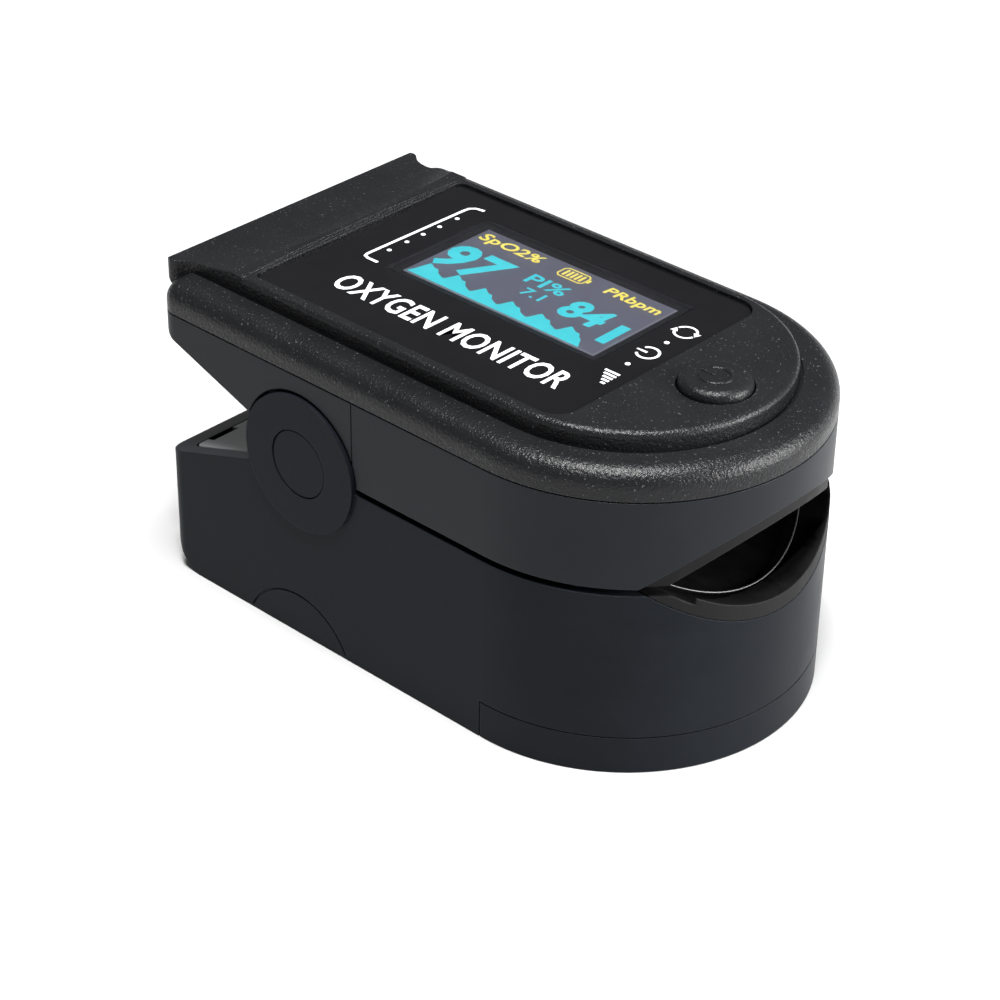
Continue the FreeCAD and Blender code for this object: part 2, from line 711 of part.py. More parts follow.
def make_emitter_lamps():
    """Return the two light sources, one red and one infrared."""
    first = box(SENSOR_X - 1.9, SENSOR_X - 0.2, -0.9, 0.9, ARCH_TOP + 0.02, 23.59)
    second = box(SENSOR_X + 0.2, SENSOR_X + 1.9, -0.9, 0.9, ARCH_TOP + 0.02, 23.59)
    return grouped([first, second])


def make_upper_screws():
    """Return the screws that hold the upper frame to the top cover."""
    return grouped([screw(x, y, 23.88, COVER_SKIN_Z - 0.6, SCREW_R, SCREW_HEAD_R, SCREW_HEAD_T)
                    for x, y in UPPER_SCREW_POINTS])


def make_upper_lead():
    """Return the upper part of the flat lead, from the board down to the hinge line."""
    return box(LEAD_X - LEAD_T / 2, LEAD_X + LEAD_T / 2, LEAD_Y0, LEAD_Y1,
               SPLIT_HIGH + 0.1, BOARD_Z - 0.02)


# Lower half.

def lower_shell_outside():
    """Return the outer form of the lower shell, open tail and rounded rear foot included."""
    side = -HALF_WIDTH - 1
    low_rear = REAR_X + 0.5
    p = [
        V(REAR_X, side, rim_z(REAR_X)),
        V(low_rear, side, BOTTOM_ROUND_Z),
        V(REAR_X + BOTTOM_ROUND_X, side, 0),
        V(NOSE_X + 1, side, 0),
        V(NOSE_X + 1, side, SPLIT_LOW),
        V(rim_meets_split(), side, SPLIT_LOW),
    ]
    k = 1.0 - math.sqrt(0.5)
    middle = V(low_rear + (p[2].x - low_rear) * k, side, BOTTOM_ROUND_Z * k)
    edges = [Part.makeLine(p[0], p[1]), arc(p[1], middle, p[2])]
    for a, b in ((2, 3), (3, 4), (4, 5), (5, 0)):
        edges.append(Part.makeLine(p[a], p[b]))
    prism = Part.Face(Part.Wire(edges)).extrude(V(0, 2 * HALF_WIDTH + 2, 0))
    return outline_solid(0.0, -1, SPLIT_LOW).common(prism)


def battery_bay():
    """Return the battery space under the shell's ceiling, open at the bottom for the door."""
    main = outline_solid(WALL, DOOR_Z + DOOR_T + LOOSE, BAY_TOP, BAY_REAR_X + 1.3, 0.6)
    back = box(BAY_REAR_X, BAY_REAR_X + 2, -HALF_WIDTH + 3, HALF_WIDTH - 3, 1.6, BAY_TOP - 1.3)
    mouth = outline_solid(WALL, -2, DOOR_T + 1, DOOR_REAR_X - LOOSE, 0.6)
    nose = box(DOOR_STEP_X, NOSE_X + 2, -20, 20, -2, DOOR_RIM_TOP + SEAM)
    slot = box(DOOR_REAR_X - LOOSE, DOOR_STEP_X + 1, EAR_IN - 1, EAR_IN + DOOR_TONGUE,
               0.4, DOOR_Z + DOOR_T + LOOSE)
    return fused([main, back, mouth, nose, slot, mirrored(slot)])


def frame_space(gap):
    """Return the space the lower frame sits in, or the frame's own form with a gap."""
    floor = SCOOP_LOW + gap
    rear = DECK_REAR_X + gap
    knee = REAR_X + (SCOOP_LOW + DECK_T - RIM_REAR_Z) / RIM_SLOPE
    profile = [
        (rear, rim_z(rear) - DECK_T + gap),
        (knee, floor),
        (NOSE_X + 1, floor),
        (NOSE_X + 1, SPLIT_LOW + 1),
        (rear, SPLIT_LOW + 1),
    ]
    prism = side_prism(profile, -HALF_WIDTH, HALF_WIDTH)
    return outline_solid(WALL + gap, SCOOP_LOW - 3, SPLIT_LOW + 1, rear, 0.8).common(prism)


def make_lower_shell():
    """Return the lower shell with its ears, battery bay and finger scoop."""
    ear = cyl_y(HINGE_X, HINGE_Z, DISC_R, EAR_IN, EAR_OUT)
    cell_stop = box(CELL_FRONT_X + 0.4, CELL_FRONT_X + 1.3, -9.0, 9.0, DOOR_RIM_TOP + 0.2, BAY_TOP)
    pocket = box(SENSOR_X - 6.3, SENSOR_X + 6.3, -2.3, 2.3, 11.05, BAY_TOP)
    shell = lower_shell_outside().cut(battery_bay()).cut(frame_space(0.0))
    shell = fused([shell, ear, mirrored(ear), cell_stop, pocket])
    scoop = cyl_x(0, SCOOP_LOW + SCOOP_R, SCOOP_R, TUNNEL_X, NOSE_X + 2)
    bore = cyl_y(HINGE_X, HINGE_Z, CAP_R + RUNNING, EAR_IN - 1, EAR_OUT + 1)
    cutters = [scoop, both_sides(bore), both_sides(side_mark())]
    cutters.append(box(SENSOR_X - 6.0, SENSOR_X + 6.0, -2.0, 2.0, 11.35, SCOOP_LOW + 1))
    cutters.append(box(LEAD_X - 0.4, LEAD_X + 0.4, LEAD_Y0 - 0.2, LEAD_Y1 + 0.2,
                       BAY_TOP - 1, SCOOP_LOW + 1))
    for x, y in LOWER_SCREW_POINTS:
        cutters.append(cyl_z(x, y, SCREW_R + 0.1, BAY_TOP - 1, SCOOP_LOW + 1))
    return cut_all(shell, cutters)


def side_mark():
    """Return the shallow arc line low on the shell's side."""
    ring = cyl_y(-11.3, -2.5, 6.6, HALF_WIDTH - 0.15, HALF_WIDTH + 1)
    ring = ring.cut(cyl_y(-11.3, -2.5, 6.4, HALF_WIDTH - 1, HALF_WIDTH + 2))
    return ring.common(box(-20, 0, 0, HALF_WIDTH + 3, 0.3, 6))


def make_lower_frame():
    """Return the lower frame: tail deck, trough sides and the hinge's inner lugs."""
    profile = [
        (DECK_REAR_X, rim_z(DECK_REAR_X)),
        (DECK_REAR_X, SCOOP_LOW - 3),
        (NOSE_X, SCOOP_LOW - 3),
        (NOSE_X, SPLIT_LOW),
        (rim_meets_split(), SPLIT_LOW),
    ]
    body = frame_space(LOOSE).common(side_prism(profile, -HALF_WIDTH, HALF_WIDTH))
    body = body.cut(cyl_x(0, SCOOP_LOW + SCOOP_R, SCOOP_R, TUNNEL_X, NOSE_X + 2))
    inner_lug = cyl_y(HINGE_X, HINGE_Z, INNER_LUG_R, INNER_LUG_IN, INNER_LUG_OUT)
    chamber = cyl_y(HINGE_X, HINGE_Z, CHAMBER_R, -INNER_LUG_IN, INNER_LUG_IN)
    lug_room = cyl_y(HINGE_X, HINGE_Z, LUG_R + POCKET_GAP, INNER_LUG_OUT, HALF_WIDTH)
    body = cut_all(body, [chamber, both_sides(lug_room)])
    body = fused([body, inner_lug, mirrored(inner_lug)])
    return cut_all(body, lower_frame_holes())


def lower_frame_holes():
    """Return the holes in the lower frame: shaft, screws, lead, spring leg and tail slot."""
    leg_y = SPRING_PITCH * SPRING_TURNS / 2
    leg_z = HINGE_Z - SPRING_COIL_R
    holes = [cyl_y(HINGE_X, HINGE_Z, SHAFT_R + RUNNING, -HALF_WIDTH, HALF_WIDTH)]
    holes.append(box(SPRING_LEG_X - 0.4, HINGE_X, -leg_y - 0.6, -leg_y + 0.6,
                     leg_z - SPRING_WIRE_R - RUNNING, SPLIT_LOW + 1))
    holes.append(box(LEAD_X - 0.4, LEAD_X + 0.4, LEAD_Y0 - 0.2, LEAD_Y1 + 0.2,
                     SCOOP_LOW - 1, SPLIT_LOW + 1))
    for x, y in LOWER_SCREW_POINTS:
        tip = min(rim_z(x), SPLIT_LOW) - 0.5
        holes.append(cyl_z(x, y, SCREW_R + RUNNING, SCOOP_LOW - 1, tip))
    holes.append(box(DECK_REAR_X - 1, DECK_REAR_X + 1.0, -14.4, -11.4, SCOOP_LOW - 3, SPLIT_LOW))
    return holes


def make_lower_finger_pad():
    """Return the soft pad in the lower half of the tunnel, with its thicker front lip."""
    axis_z = SCOOP_LOW + SCOOP_R
    skin = cyl_x(0, axis_z, SCOOP_R - PAD_FIT, TUNNEL_X + PAD_FIT, NOSE_X + 2)
    trough = cyl_x(0, axis_z, SCOOP_R - PAD_FIT - TROUGH_T, TUNNEL_X + PAD_END_T,
                   NOSE_X - LIP_DEPTH)
    mouth = cyl_x(0, axis_z, SCOOP_R - PAD_FIT - LIP_T, NOSE_X - LIP_DEPTH - 0.1, NOSE_X + 3)
    pad = cut_all(skin, [trough, mouth])
    pad = pad.common(outline_solid(0.02, SCOOP_LOW - 1, SPLIT_LOW - PAD_FIT))
    return pad.cut(cyl_z(SENSOR_X, 0, SENSOR_R + SENSOR_FIT, SCOOP_LOW - 1, SPLIT_LOW))


def make_sensor_window():
    """Return the clear window over the light sensor."""
    return cyl_z(SENSOR_X, 0, SENSOR_R, SCOOP_LOW + 0.25, SCOOP_LOW + TROUGH_T)


def make_sensor_board():
    """Return the narrow board that carries the light sensor."""
    return box(SENSOR_X - 5.8, SENSOR_X + 5.8, -1.85, 1.85, 11.45, 12.05)


def make_photodiode():
    """Return the light sensor."""
    return box(SENSOR_X - 1.5, SENSOR_X + 1.5, -1.4, 1.4, 12.06, 12.8)


def cell(y, body_x, nub_x):
    """Return one cell: a can from body_x and a contact nub that ends at nub_x."""
    length = CELL_L - NUB_L
    body = cyl_x(y, CELL_Z, CELL_R, body_x, body_x + length)
    ends = [e for e in body.Edges if abs(e.BoundBox.XMax - e.BoundBox.XMin) < 1e-4]
    body = body.makeFillet(0.4, ends)
    if nub_x > body_x:
        nub = cyl_x(y, CELL_Z, NUB_R, nub_x - NUB_L - 0.1, nub_x)
    else:
        nub = cyl_x(y, CELL_Z, NUB_R, nub_x, nub_x + NUB_L + 0.1)
    return fused([body, nub])


def make_battery_left():
    """Return the cell on the -Y side, its contact nub at the nose end."""
    return cell(-CELL_Y, CELL_FRONT_X - CELL_L, CELL_FRONT_X)


def make_battery_right():
    """Return the cell on the +Y side, turned end for end."""
    front = CELL_FRONT_X - SPRING_L
    return cell(CELL_Y, front - CELL_L + NUB_L, front - CELL_L)


def make_battery_springs():
    """Return the two tapered coil contacts that press on the cells' flat ends."""
    wire_r = CONTACT_WIRE_R
    pitch = (SPRING_L - 2 * wire_r - 0.1) / 2
    turns = coil(CONTACT_COIL_R, wire_r, pitch, 2, 2 * (2 * wire_r + 0.1))
    lying = turns.copy()
    lying.rotate(V(0, 0, 0), V(0, 1, 0), 90)
    front = lying.copy()
    front.translate(V(CELL_FRONT_X - SPRING_L + wire_r + 0.05, CELL_Y, CELL_Z))
    rear = lying.copy()
    rear.translate(V(CELL_FRONT_X - CELL_L - SPRING_L + wire_r + 0.05, -CELL_Y, CELL_Z))
    return grouped([front, rear])


def make_battery_contacts():
    """Return the contact plates: two at the nose end and one bridge at the tail end."""
    low = CELL_Z - 3.0
    high = CELL_Z + 3.2
    front = CELL_FRONT_X + 0.05
    rear = CELL_FRONT_X - CELL_L - SPRING_L - 0.05
    left = box(front, front + CONTACT_T, -8.6, -1.6, low, high)
    right = box(front, front + CONTACT_T, 1.6, 8.6, low, high)
    bridge = box(rear - CONTACT_T, rear, -8.6, 8.6, low, high)
    return grouped([left, right, bridge])


def make_battery_door():
    """Return the sliding door: floor plate, side tongues and the raised nose rim."""
    rear_floor = outline_solid(WALL + LOOSE, DOOR_Z, DOOR_Z + DOOR_T, DOOR_REAR_X, 0.6)
    step = DOOR_STEP_X + SEAM
    nose_floor = outline_solid(0.0, DOOR_Z, DOOR_Z + DOOR_T, REAR_X, 2.0)
    nose_floor = nose_floor.common(box(step, NOSE_X + 1, -20, 20, -1, 5))
    rim = outline_solid(0.0, DOOR_Z, DOOR_RIM_TOP, REAR_X, 2.0)
    rim = rim.cut(outline_solid(WALL, DOOR_Z - 1, DOOR_RIM_TOP + 1))
    rim = rim.common(box(step, NOSE_X + 1, -20, 20, -1, 5))
    tongue = box(DOOR_REAR_X, DOOR_STEP_X - 0.3, EAR_IN - 1, EAR_IN + DOOR_TONGUE - LOOSE,
                 0.55, DOOR_Z + DOOR_T)
    door = fused([rear_floor, nose_floor, rim, tongue, mirrored(tongue)])
    grips = [box(17.0 + 1.6 * i, 17.7 + 1.6 * i, -6.0, 6.0, DOOR_Z - 1, DOOR_Z + 0.3)
             for i in range(4)]
    return cut_all(door, grips)


def make_hinge_shaft():
    """Return the steel shaft the halves turn on."""
    half = EAR_OUT - 1.0
    return cyl_y(HINGE_X, HINGE_Z, SHAFT_R, -half, half)


def make_hinge_caps():
    """Return the two round caps that close the ears and hold the shaft's ends."""
    cap = cyl_y(HINGE_X, HINGE_Z, CAP_R, EAR_IN, EAR_OUT - 0.05)
    rim = [e for e in cap.Edges
           if abs(e.BoundBox.YMin - cap.BoundBox.YMax) < 1e-4 and len(e.Vertexes) == 1]
    cap = cap.makeFillet(0.15, rim)
    cap = cap.cut(cyl_y(HINGE_X, HINGE_Z, SHAFT_R + RUNNING, EAR_IN - 1, EAR_OUT - 0.95))
    return grouped([cap, mirrored(cap)])


def make_torsion_spring():
    """Return the spring that closes the clip, with a leg for each tail."""
    half = SPRING_PITCH * SPRING_TURNS / 2
    turns = coil(SPRING_COIL_R, SPRING_WIRE_R, SPRING_PITCH, SPRING_TURNS - 0.5)
    turns.rotate(V(0, 0, 0), V(0, 0, 1), 90)
    turns.rotate(V(0, 0, 0), V(1, 0, 0), -90)
    bounds = turns.BoundBox
    turns.translate(V(0, -(bounds.YMin + bounds.YMax) / 2, 0))
    turns.translate(V(HINGE_X, 0, HINGE_Z))
    high_z = HINGE_Z + SPRING_COIL_R
    low_z = HINGE_Z - SPRING_COIL_R
    reach = SPRING_PITCH * (SPRING_TURNS - 0.5) / 2
    upper = cyl_x(reach, high_z, SPRING_WIRE_R, SPRING_LEG_X, HINGE_X)
    lower = cyl_x(-reach, low_z, SPRING_WIRE_R, SPRING_LEG_X, HINGE_X)
    return fused([turns, upper, lower])


def make_lower_screws():
    """Return the screws that hold the lower frame to the shell, from inside the bay."""
    screws = []
    for x, y in LOWER_SCREW_POINTS:
        tip = min(rim_z(x), SPLIT_LOW) - 0.7
        screws.append(screw(x, y, BAY_TOP - 0.01, tip, SCREW_R, SCREW_HEAD_R, SCREW_HEAD_T))
    return grouped(screws)


def make_lower_lead():
    """Return the lower part of the flat lead, from the bay up to the hinge line."""
    return box(LEAD_X - LEAD_T / 2, LEAD_X + LEAD_T / 2, LEAD_Y0, LEAD_Y1,
               BAY_TOP + 0.1, SPLIT_LOW)


MAKERS = {
    "top_cover": make_top_cover,
    "label_plate": make_label_plate,
    "display_window": make_display_window,
    "display_panel": make_display_panel,
    "display_screen": make_display_screen,
    "display_bracket": make_display_bracket,
    "display_ribbon": make_display_ribbon,
    "main_board": make_main_board,
    "board_screws": make_board_screws,
    "processor_chip": make_processor_chip,
    "crystal_can": make_crystal_can,
    "buzzer": make_buzzer,
    "board_parts": make_board_parts,
    "switch_body": make_switch_body,
    "switch_plunger": make_switch_plunger,
    "power_button": make_power_button,
    "upper_frame": make_upper_frame,
    "upper_finger_pad": make_upper_finger_pad,
    "emitter_window": make_emitter_window,
    "emitter_board": make_emitter_board,
    "emitter_lamps": make_emitter_lamps,
    "upper_screws": make_upper_screws,
    "upper_lead": make_upper_lead,
    "lower_shell": make_lower_shell,
    "lower_frame": make_lower_frame,
    "lower_finger_pad": make_lower_finger_pad,
    "sensor_window": make_sensor_window,
    "sensor_board": make_sensor_board,
    "photodiode": make_photodiode,
    "battery_left": make_battery_left,
    "battery_right": make_battery_right,
    "battery_springs": make_battery_springs,
    "battery_contacts": make_battery_contacts,
    "battery_door": make_battery_door,
    "hinge_shaft": make_hinge_shaft,
    "hinge_caps": make_hinge_caps,
    "torsion_spring": make_torsion_spring,
    "lower_screws": make_lower_screws,
    "lower_lead": make_lower_lead,
}

# The origin goes under the middle of the whole length, thumb lip included.
ORIGIN_X = (LIP_REAR_X + NOSE_X) / 2

os.makedirs("parts", exist_ok=True)
for node, maker in MAKERS.items():
    shape = maker()
    shape.translate(V(-ORIGIN_X, 0, 0))
    shape.exportStep("parts/" + node + ".step")
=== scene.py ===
"""Finishes, printing, display graphics and soft pads of a fingertip pulse oximeter.

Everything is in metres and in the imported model's own frame: +X points at the finger mouth,
+Z is up and the bottom rests on z = 0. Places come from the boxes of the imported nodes.
"""

import json
import logging
import math
from dataclasses import dataclass, field
from enum import Enum

import bmesh
import bpy
from mathutils import Matrix, Vector


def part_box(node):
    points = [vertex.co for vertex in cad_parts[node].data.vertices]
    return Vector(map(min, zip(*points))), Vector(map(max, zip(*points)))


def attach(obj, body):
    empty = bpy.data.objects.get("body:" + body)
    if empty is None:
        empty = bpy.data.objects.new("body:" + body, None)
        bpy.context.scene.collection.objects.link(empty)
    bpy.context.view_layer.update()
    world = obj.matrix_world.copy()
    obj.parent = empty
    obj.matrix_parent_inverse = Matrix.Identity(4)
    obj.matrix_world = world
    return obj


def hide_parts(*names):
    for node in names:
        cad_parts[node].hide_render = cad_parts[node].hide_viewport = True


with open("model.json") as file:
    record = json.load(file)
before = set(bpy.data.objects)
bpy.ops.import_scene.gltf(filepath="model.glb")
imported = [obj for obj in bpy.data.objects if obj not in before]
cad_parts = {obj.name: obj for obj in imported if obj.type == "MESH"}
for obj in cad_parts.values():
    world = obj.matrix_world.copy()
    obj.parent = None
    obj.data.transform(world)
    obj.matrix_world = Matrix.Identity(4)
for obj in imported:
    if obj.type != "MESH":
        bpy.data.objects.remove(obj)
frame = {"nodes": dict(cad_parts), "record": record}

MM = 0.001
LABEL_REACH = 14.33
LOG = logging.getLogger("oximeter")

Colour = tuple[float, float, float]
Socket = bpy.types.NodeSocket


class Body(Enum):
    """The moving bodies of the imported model."""

    LOWER = "lower"
    UPPER = "upper"
    BUTTON = "button"
    DOOR = "door"


class Wave(Enum):
    """How fine the slow tonal change of a finish is, in cycles per metre."""

    BROAD = 60.0
    MEDIUM = 180.0
    CLOSE = 600.0


# Node trees.


class Tree:
    """Adds and joins nodes in one node tree."""

    def __init__(self, tree: bpy.types.NodeTree) -> None:
        """Keep the tree.

        Args:
            tree: The node tree that nodes are added to.
        """
        self.tree = tree

    def add(self, kind: str, **settings: object) -> bpy.types.Node:
        """Add a node.

        Args:
            kind: The node's type name.
            **settings: Properties of the node to set.

        Returns:
            The new node.
        """
        node = self.tree.nodes.new(kind)
        for name, value in settings.items():
            setattr(node, name, value)
        return node

    def feed(self, socket: Socket, value: object) -> None:
        """Link a socket or set its value.

        Args:
            socket: The input socket.
            value: Another socket, or a plain value.
        """
        if isinstance(value, bpy.types.NodeSocket):
            self.tree.links.new(value, socket)
        else:
            socket.default_value = value

    def math(self, operation: str, *values: object, clamp: bool = False) -> Socket:
        """Add a Math node.

        Args:
            operation: The operation's name.
            *values: Sockets or numbers for the inputs.
            clamp: Whether the result is kept between 0 and 1.

        Returns:
            The result socket.
        """
        node = self.add("ShaderNodeMath", operation=operation, use_clamp=clamp)
        for socket, value in zip(node.inputs, values):
            self.feed(socket, value)
        return node.outputs[0]

    def vector(self, operation: str, *values: object) -> bpy.types.Node:
        """Add a Vector Math node.

        Args:
            operation: The operation's name.
            *values: Sockets or vectors for the inputs.

        Returns:
            The node.
        """
        node = self.add("ShaderNodeVectorMath", operation=operation)
        for socket, value in zip(node.inputs, values):
            self.feed(socket, value)
        return node

    def mix(self, share: object, first: object, second: object) -> Socket:
        """Mix two colours.

        Args:
            share: How much of the second colour shows.
            first: The first colour.
            second: The second colour.

        Returns:
            The mixed colour's socket.
        """
        node = self.add("ShaderNodeMix", data_type="RGBA")
        self.feed(node.inputs[0], share)
        self.feed(node.inputs[6], first)
        self.feed(node.inputs[7], second)
        return node.outputs[2]

    def remap(self, value: Socket, low: float, high: float, to_low: object, to_high: object) -> Socket:
        """Map a value's range onto another, clamped.

        Args:
            value: The value.
            low: Start of its range.
            high: End of its range.
            to_low: Result at the start.
            to_high: Result at the end.

        Returns:
            The result socket.
        """
        node = self.add("ShaderNodeMapRange")
        for socket, number in zip(node.inputs, (value, low, high, to_low, to_high)):
            self.feed(socket, number)
        return node.outputs[0]

    def noise(self, vector: Socket, scale: object, detail: float = 2.0, rough: float = 0.5) -> Socket:
        """Add a Noise texture.

        Args:
            vector: Coordinates.
            scale: Cycles per metre.
            detail: Octaves.
            rough: Share of each finer octave.

        Returns:
            The noise value's socket.
        """
        node = self.add("ShaderNodeTexNoise")
        self.feed(node.inputs["Vector"], vector)
        self.feed(node.inputs["Scale"], scale)
        self.feed(node.inputs["Detail"], detail)
        self.feed(node.inputs["Roughness"], rough)
        return node.outputs["Fac"]

    def place(self) -> Socket:
        """Return the object coordinates."""
        return self.add("ShaderNodeTexCoord").outputs["Object"]

    def axes(self, vector: Socket) -> list[Socket]:
        """Return the X, Y and Z of a vector."""
        node = self.add("ShaderNodeSeparateXYZ")
        self.feed(node.inputs[0], vector)
        return list(node.outputs)


@dataclass(frozen=True)
class Port:
    """One named socket of an effect."""

    name: str
    kind: str
    default: float = 0.0


class Effect:
    """A node group that more than one finish uses."""

    def __init__(self, name: str, inputs: list[Port], outputs: list[Port]) -> None:
        """Make an empty group with its sockets.

        Args:
            name: The group's name.
            inputs: Its input sockets.
            outputs: Its output sockets.
        """
        self.group = bpy.data.node_groups.new(name, "ShaderNodeTree")
        for side, ports in (("INPUT", inputs), ("OUTPUT", outputs)):
            for port in ports:
                kind = f"NodeSocket{port.kind}"
                socket = self.group.interface.new_socket(port.name, in_out=side, socket_type=kind)
                if port.kind == "Float":
                    socket.default_value = port.default
        self.tree = Tree(self.group)
        self.inner = self.tree.add("NodeGroupInput")
        self.outer = self.tree.add("NodeGroupOutput")

    def use(self, tree: Tree, **values: object) -> bpy.types.Node:
        """Place the group in a tree.

        Args:
            tree: The tree of a finish.
            **values: Sockets or numbers for the inputs, spaces written as underscores.

        Returns:
            The group node.
        """
        node = tree.add("ShaderNodeGroup", node_tree=self.group)
        for name, value in values.items():
            tree.feed(node.inputs[name.replace("_", " ")], value)
        return node


class MouldGrain(Effect):
    """The fine etched grain that a mould leaves, as a height, with a mask of sparse specks where bright
    painted glints stand in for light sparkling on the grain.
    """

    def __init__(self) -> None:
        """Build the group."""
        super().__init__(
            "mould_grain",
            [Port("Vector", "Vector"), Port("Scale", "Float", 5000.0)],
            [Port("Height", "Float"), Port("Painted Glint", "Float")],
        )
        tree = self.tree
        where, scale = self.inner.outputs["Vector"], self.inner.outputs["Scale"]
        fine = tree.noise(where, scale, 2.0, 0.6)
        cells = tree.add("ShaderNodeTexVoronoi", feature="SMOOTH_F1")
        tree.feed(cells.inputs["Vector"], where)
        tree.feed(cells.inputs["Scale"], tree.math("MULTIPLY", scale, 0.55))
        tree.feed(cells.inputs["Smoothness"], 0.6)
        domes = tree.math("SUBTRACT", 1.0, cells.outputs["Distance"])
        height = tree.math("ADD", tree.math("MULTIPLY", fine, 0.55), tree.math("MULTIPLY", domes, 0.45))
        tree.feed(self.outer.inputs["Height"], height)
        # Sparse specks that the finishes paint bright: painted glints that stand in for light sparkling on
        # the grain, not real flecks in the plastic.
        glint_spots = tree.noise(where, tree.math("MULTIPLY", scale, 0.75), 1.0, 0.5)
        tree.feed(self.outer.inputs["Painted Glint"], tree.remap(glint_spots, 0.70, 0.76, 0.0, 1.0))


class HandlingMarks(Effect):
    """Soft patches and faint streaks that handling leaves, as values from 0 to 1."""

    def __init__(self) -> None:
        """Build the group."""
        super().__init__(
            "handling_marks",
            [Port("Vector", "Vector"), Port("Scale", "Float", 180.0)],
            [Port("Patches", "Float"), Port("Streaks", "Float")],
        )
        tree = self.tree
        where, scale = self.inner.outputs["Vector"], self.inner.outputs["Scale"]
        broad = tree.noise(where, scale, 4.0, 0.55)
        tree.feed(self.outer.inputs["Patches"], tree.remap(broad, 0.3, 0.7, 0.0, 1.0))
        long_way = tree.add("ShaderNodeMapping")
        tree.feed(long_way.inputs["Vector"], where)
        long_way.inputs["Rotation"].default_value = (0.0, 0.2, 0.5)
        long_way.inputs["Scale"].default_value = (1.0, 14.0, 6.0)
        lines = tree.noise(long_way.outputs[0], scale, 3.0, 0.7)
        tree.feed(self.outer.inputs["Streaks"], tree.remap(lines, 0.62, 0.74, 0.0, 1.0))


class EdgeWear(Effect):
    """Where a corner is rubbed, and the softened normal of that corner."""

    def __init__(self) -> None:
        """Build the group."""
        super().__init__(
            "edge_wear",
            [Port("Vector", "Vector"), Port("Radius", "Float", 0.2 * MM), Port("Break Up", "Float", 1800.0)],
            [Port("Mask", "Float"), Port("Normal", "Vector")],
        )
        tree = self.tree
        round_over = tree.add("ShaderNodeBevel", samples=4)
        tree.feed(round_over.inputs["Radius"], self.inner.outputs["Radius"])
        flat = tree.add("ShaderNodeNewGeometry").outputs["Normal"]
        facing = tree.vector("DOT_PRODUCT", round_over.outputs[0], flat).outputs["Value"]
        corner = tree.remap(facing, 0.985, 0.80, 0.0, 1.0)
        broken = tree.noise(self.inner.outputs["Vector"], self.inner.outputs["Break Up"], 3.0, 0.6)
        rubbed = tree.math("MULTIPLY", corner, tree.remap(broken, 0.35, 0.65, 0.25, 1.0), clamp=True)
        tree.feed(self.outer.inputs["Mask"], rubbed)
        tree.feed(self.outer.inputs["Normal"], round_over.outputs[0])


class Effects:
    """The shared effects, made once."""

    def __init__(self) -> None:
        """Build every group."""
        self.grain = MouldGrain()
        self.marks = HandlingMarks()
        self.wear = EdgeWear()


# Finishes.


def opaque(colour: Colour) -> tuple[float, float, float, float]:
    """Return a colour with full alpha."""
    return (*colour, 1.0)


def new_material(name: str) -> tuple[bpy.types.Material, Tree, bpy.types.Node]:
    """Make a material with a Principled shader.

    Args:
        name: The material's name.

    Returns:
        The material, its tree and the shader node.
    """
    material = bpy.data.materials.new(name)
    material.use_nodes = True
    tree = Tree(material.node_tree)
    shader = next(n for n in material.node_tree.nodes if n.type == "BSDF_PRINCIPLED")
    return material, tree, shader


@dataclass(frozen=True)
class Plastic:
    """Moulded plastic or rubber: grain, handling marks, rubbed corners and painted glints, which are bright
    specks of the rubbed colour in the grain.
    """

    name: str
    base: Colour
    tint: Colour
    # Colour of rubbed corners, also used as the colour of the painted glints in the grain.
    rubbed: Colour
    rough: tuple[float, float]
    grain_scale: float
    grain_depth: float
    wave: Wave = Wave.MEDIUM
    corner: float = 0.12 * MM
    # Share of the painted glints, bright specks that stand in for light sparkling on the grain.
    painted_glint: float = 0.0
    specular: float = 0.5
    coat: float = 0.0
    wear_share: float = 0.5

    def build(self, effects: Effects) -> bpy.types.Material:
        """Return the material.

        Args:
            effects: The shared effects.

        Returns:
            The finished material.
        """
        material, tree, shader = new_material(self.name)
        where = tree.place()
        marks = effects.marks.use(tree, Vector=where, Scale=self.wave.value)
        grain = effects.grain.use(tree, Vector=where, Scale=self.grain_scale)
        wear = effects.wear.use(tree, Vector=where, Radius=self.corner)
        patches, streaks = marks.outputs["Patches"], marks.outputs["Streaks"]
        tone = tree.mix(patches, opaque(self.base), opaque(self.tint))
        low = tree.math("MULTIPLY", grain.outputs["Height"], 0.35)
        tone = tree.mix(low, tone, opaque(tuple(0.7 * c for c in self.base)))
        # Painted glints: sparse specks of the grain get the rubbed colour, standing in for light sparkling on
        # the grain.
        tone = tree.mix(tree.math("MULTIPLY", grain.outputs["Painted Glint"], self.painted_glint), tone, opaque(self.rubbed))
        rubbed = tree.math("MULTIPLY", wear.outputs["Mask"], self.wear_share)
        tone = tree.mix(rubbed, tone, opaque(self.rubbed))
        tree.feed(shader.inputs["Base Color"], tone)
        gloss = tree.remap(patches, 0.0, 1.0, *self.rough)
        gloss = tree.math("SUBTRACT", gloss, tree.math("MULTIPLY", streaks, 0.05))
        gloss = tree.math("SUBTRACT", gloss, tree.math("MULTIPLY", wear.outputs["Mask"], 0.08), clamp=True)
        tree.feed(shader.inputs["Roughness"], gloss)
        shader.inputs["Specular IOR Level"].default_value = self.specular
        shader.inputs["Coat Weight"].default_value = self.coat
        shader.inputs["Coat Roughness"].default_value = 0.08
        bump = tree.add("ShaderNodeBump")
        bump.inputs["Strength"].default_value = 1.0
        bump.inputs["Distance"].default_value = self.grain_depth
        tree.feed(bump.inputs["Height"], grain.outputs["Height"])
        tree.feed(bump.inputs["Normal"], wear.outputs["Normal"])
        tree.feed(shader.inputs["Normal"], bump.outputs[0])
        return material


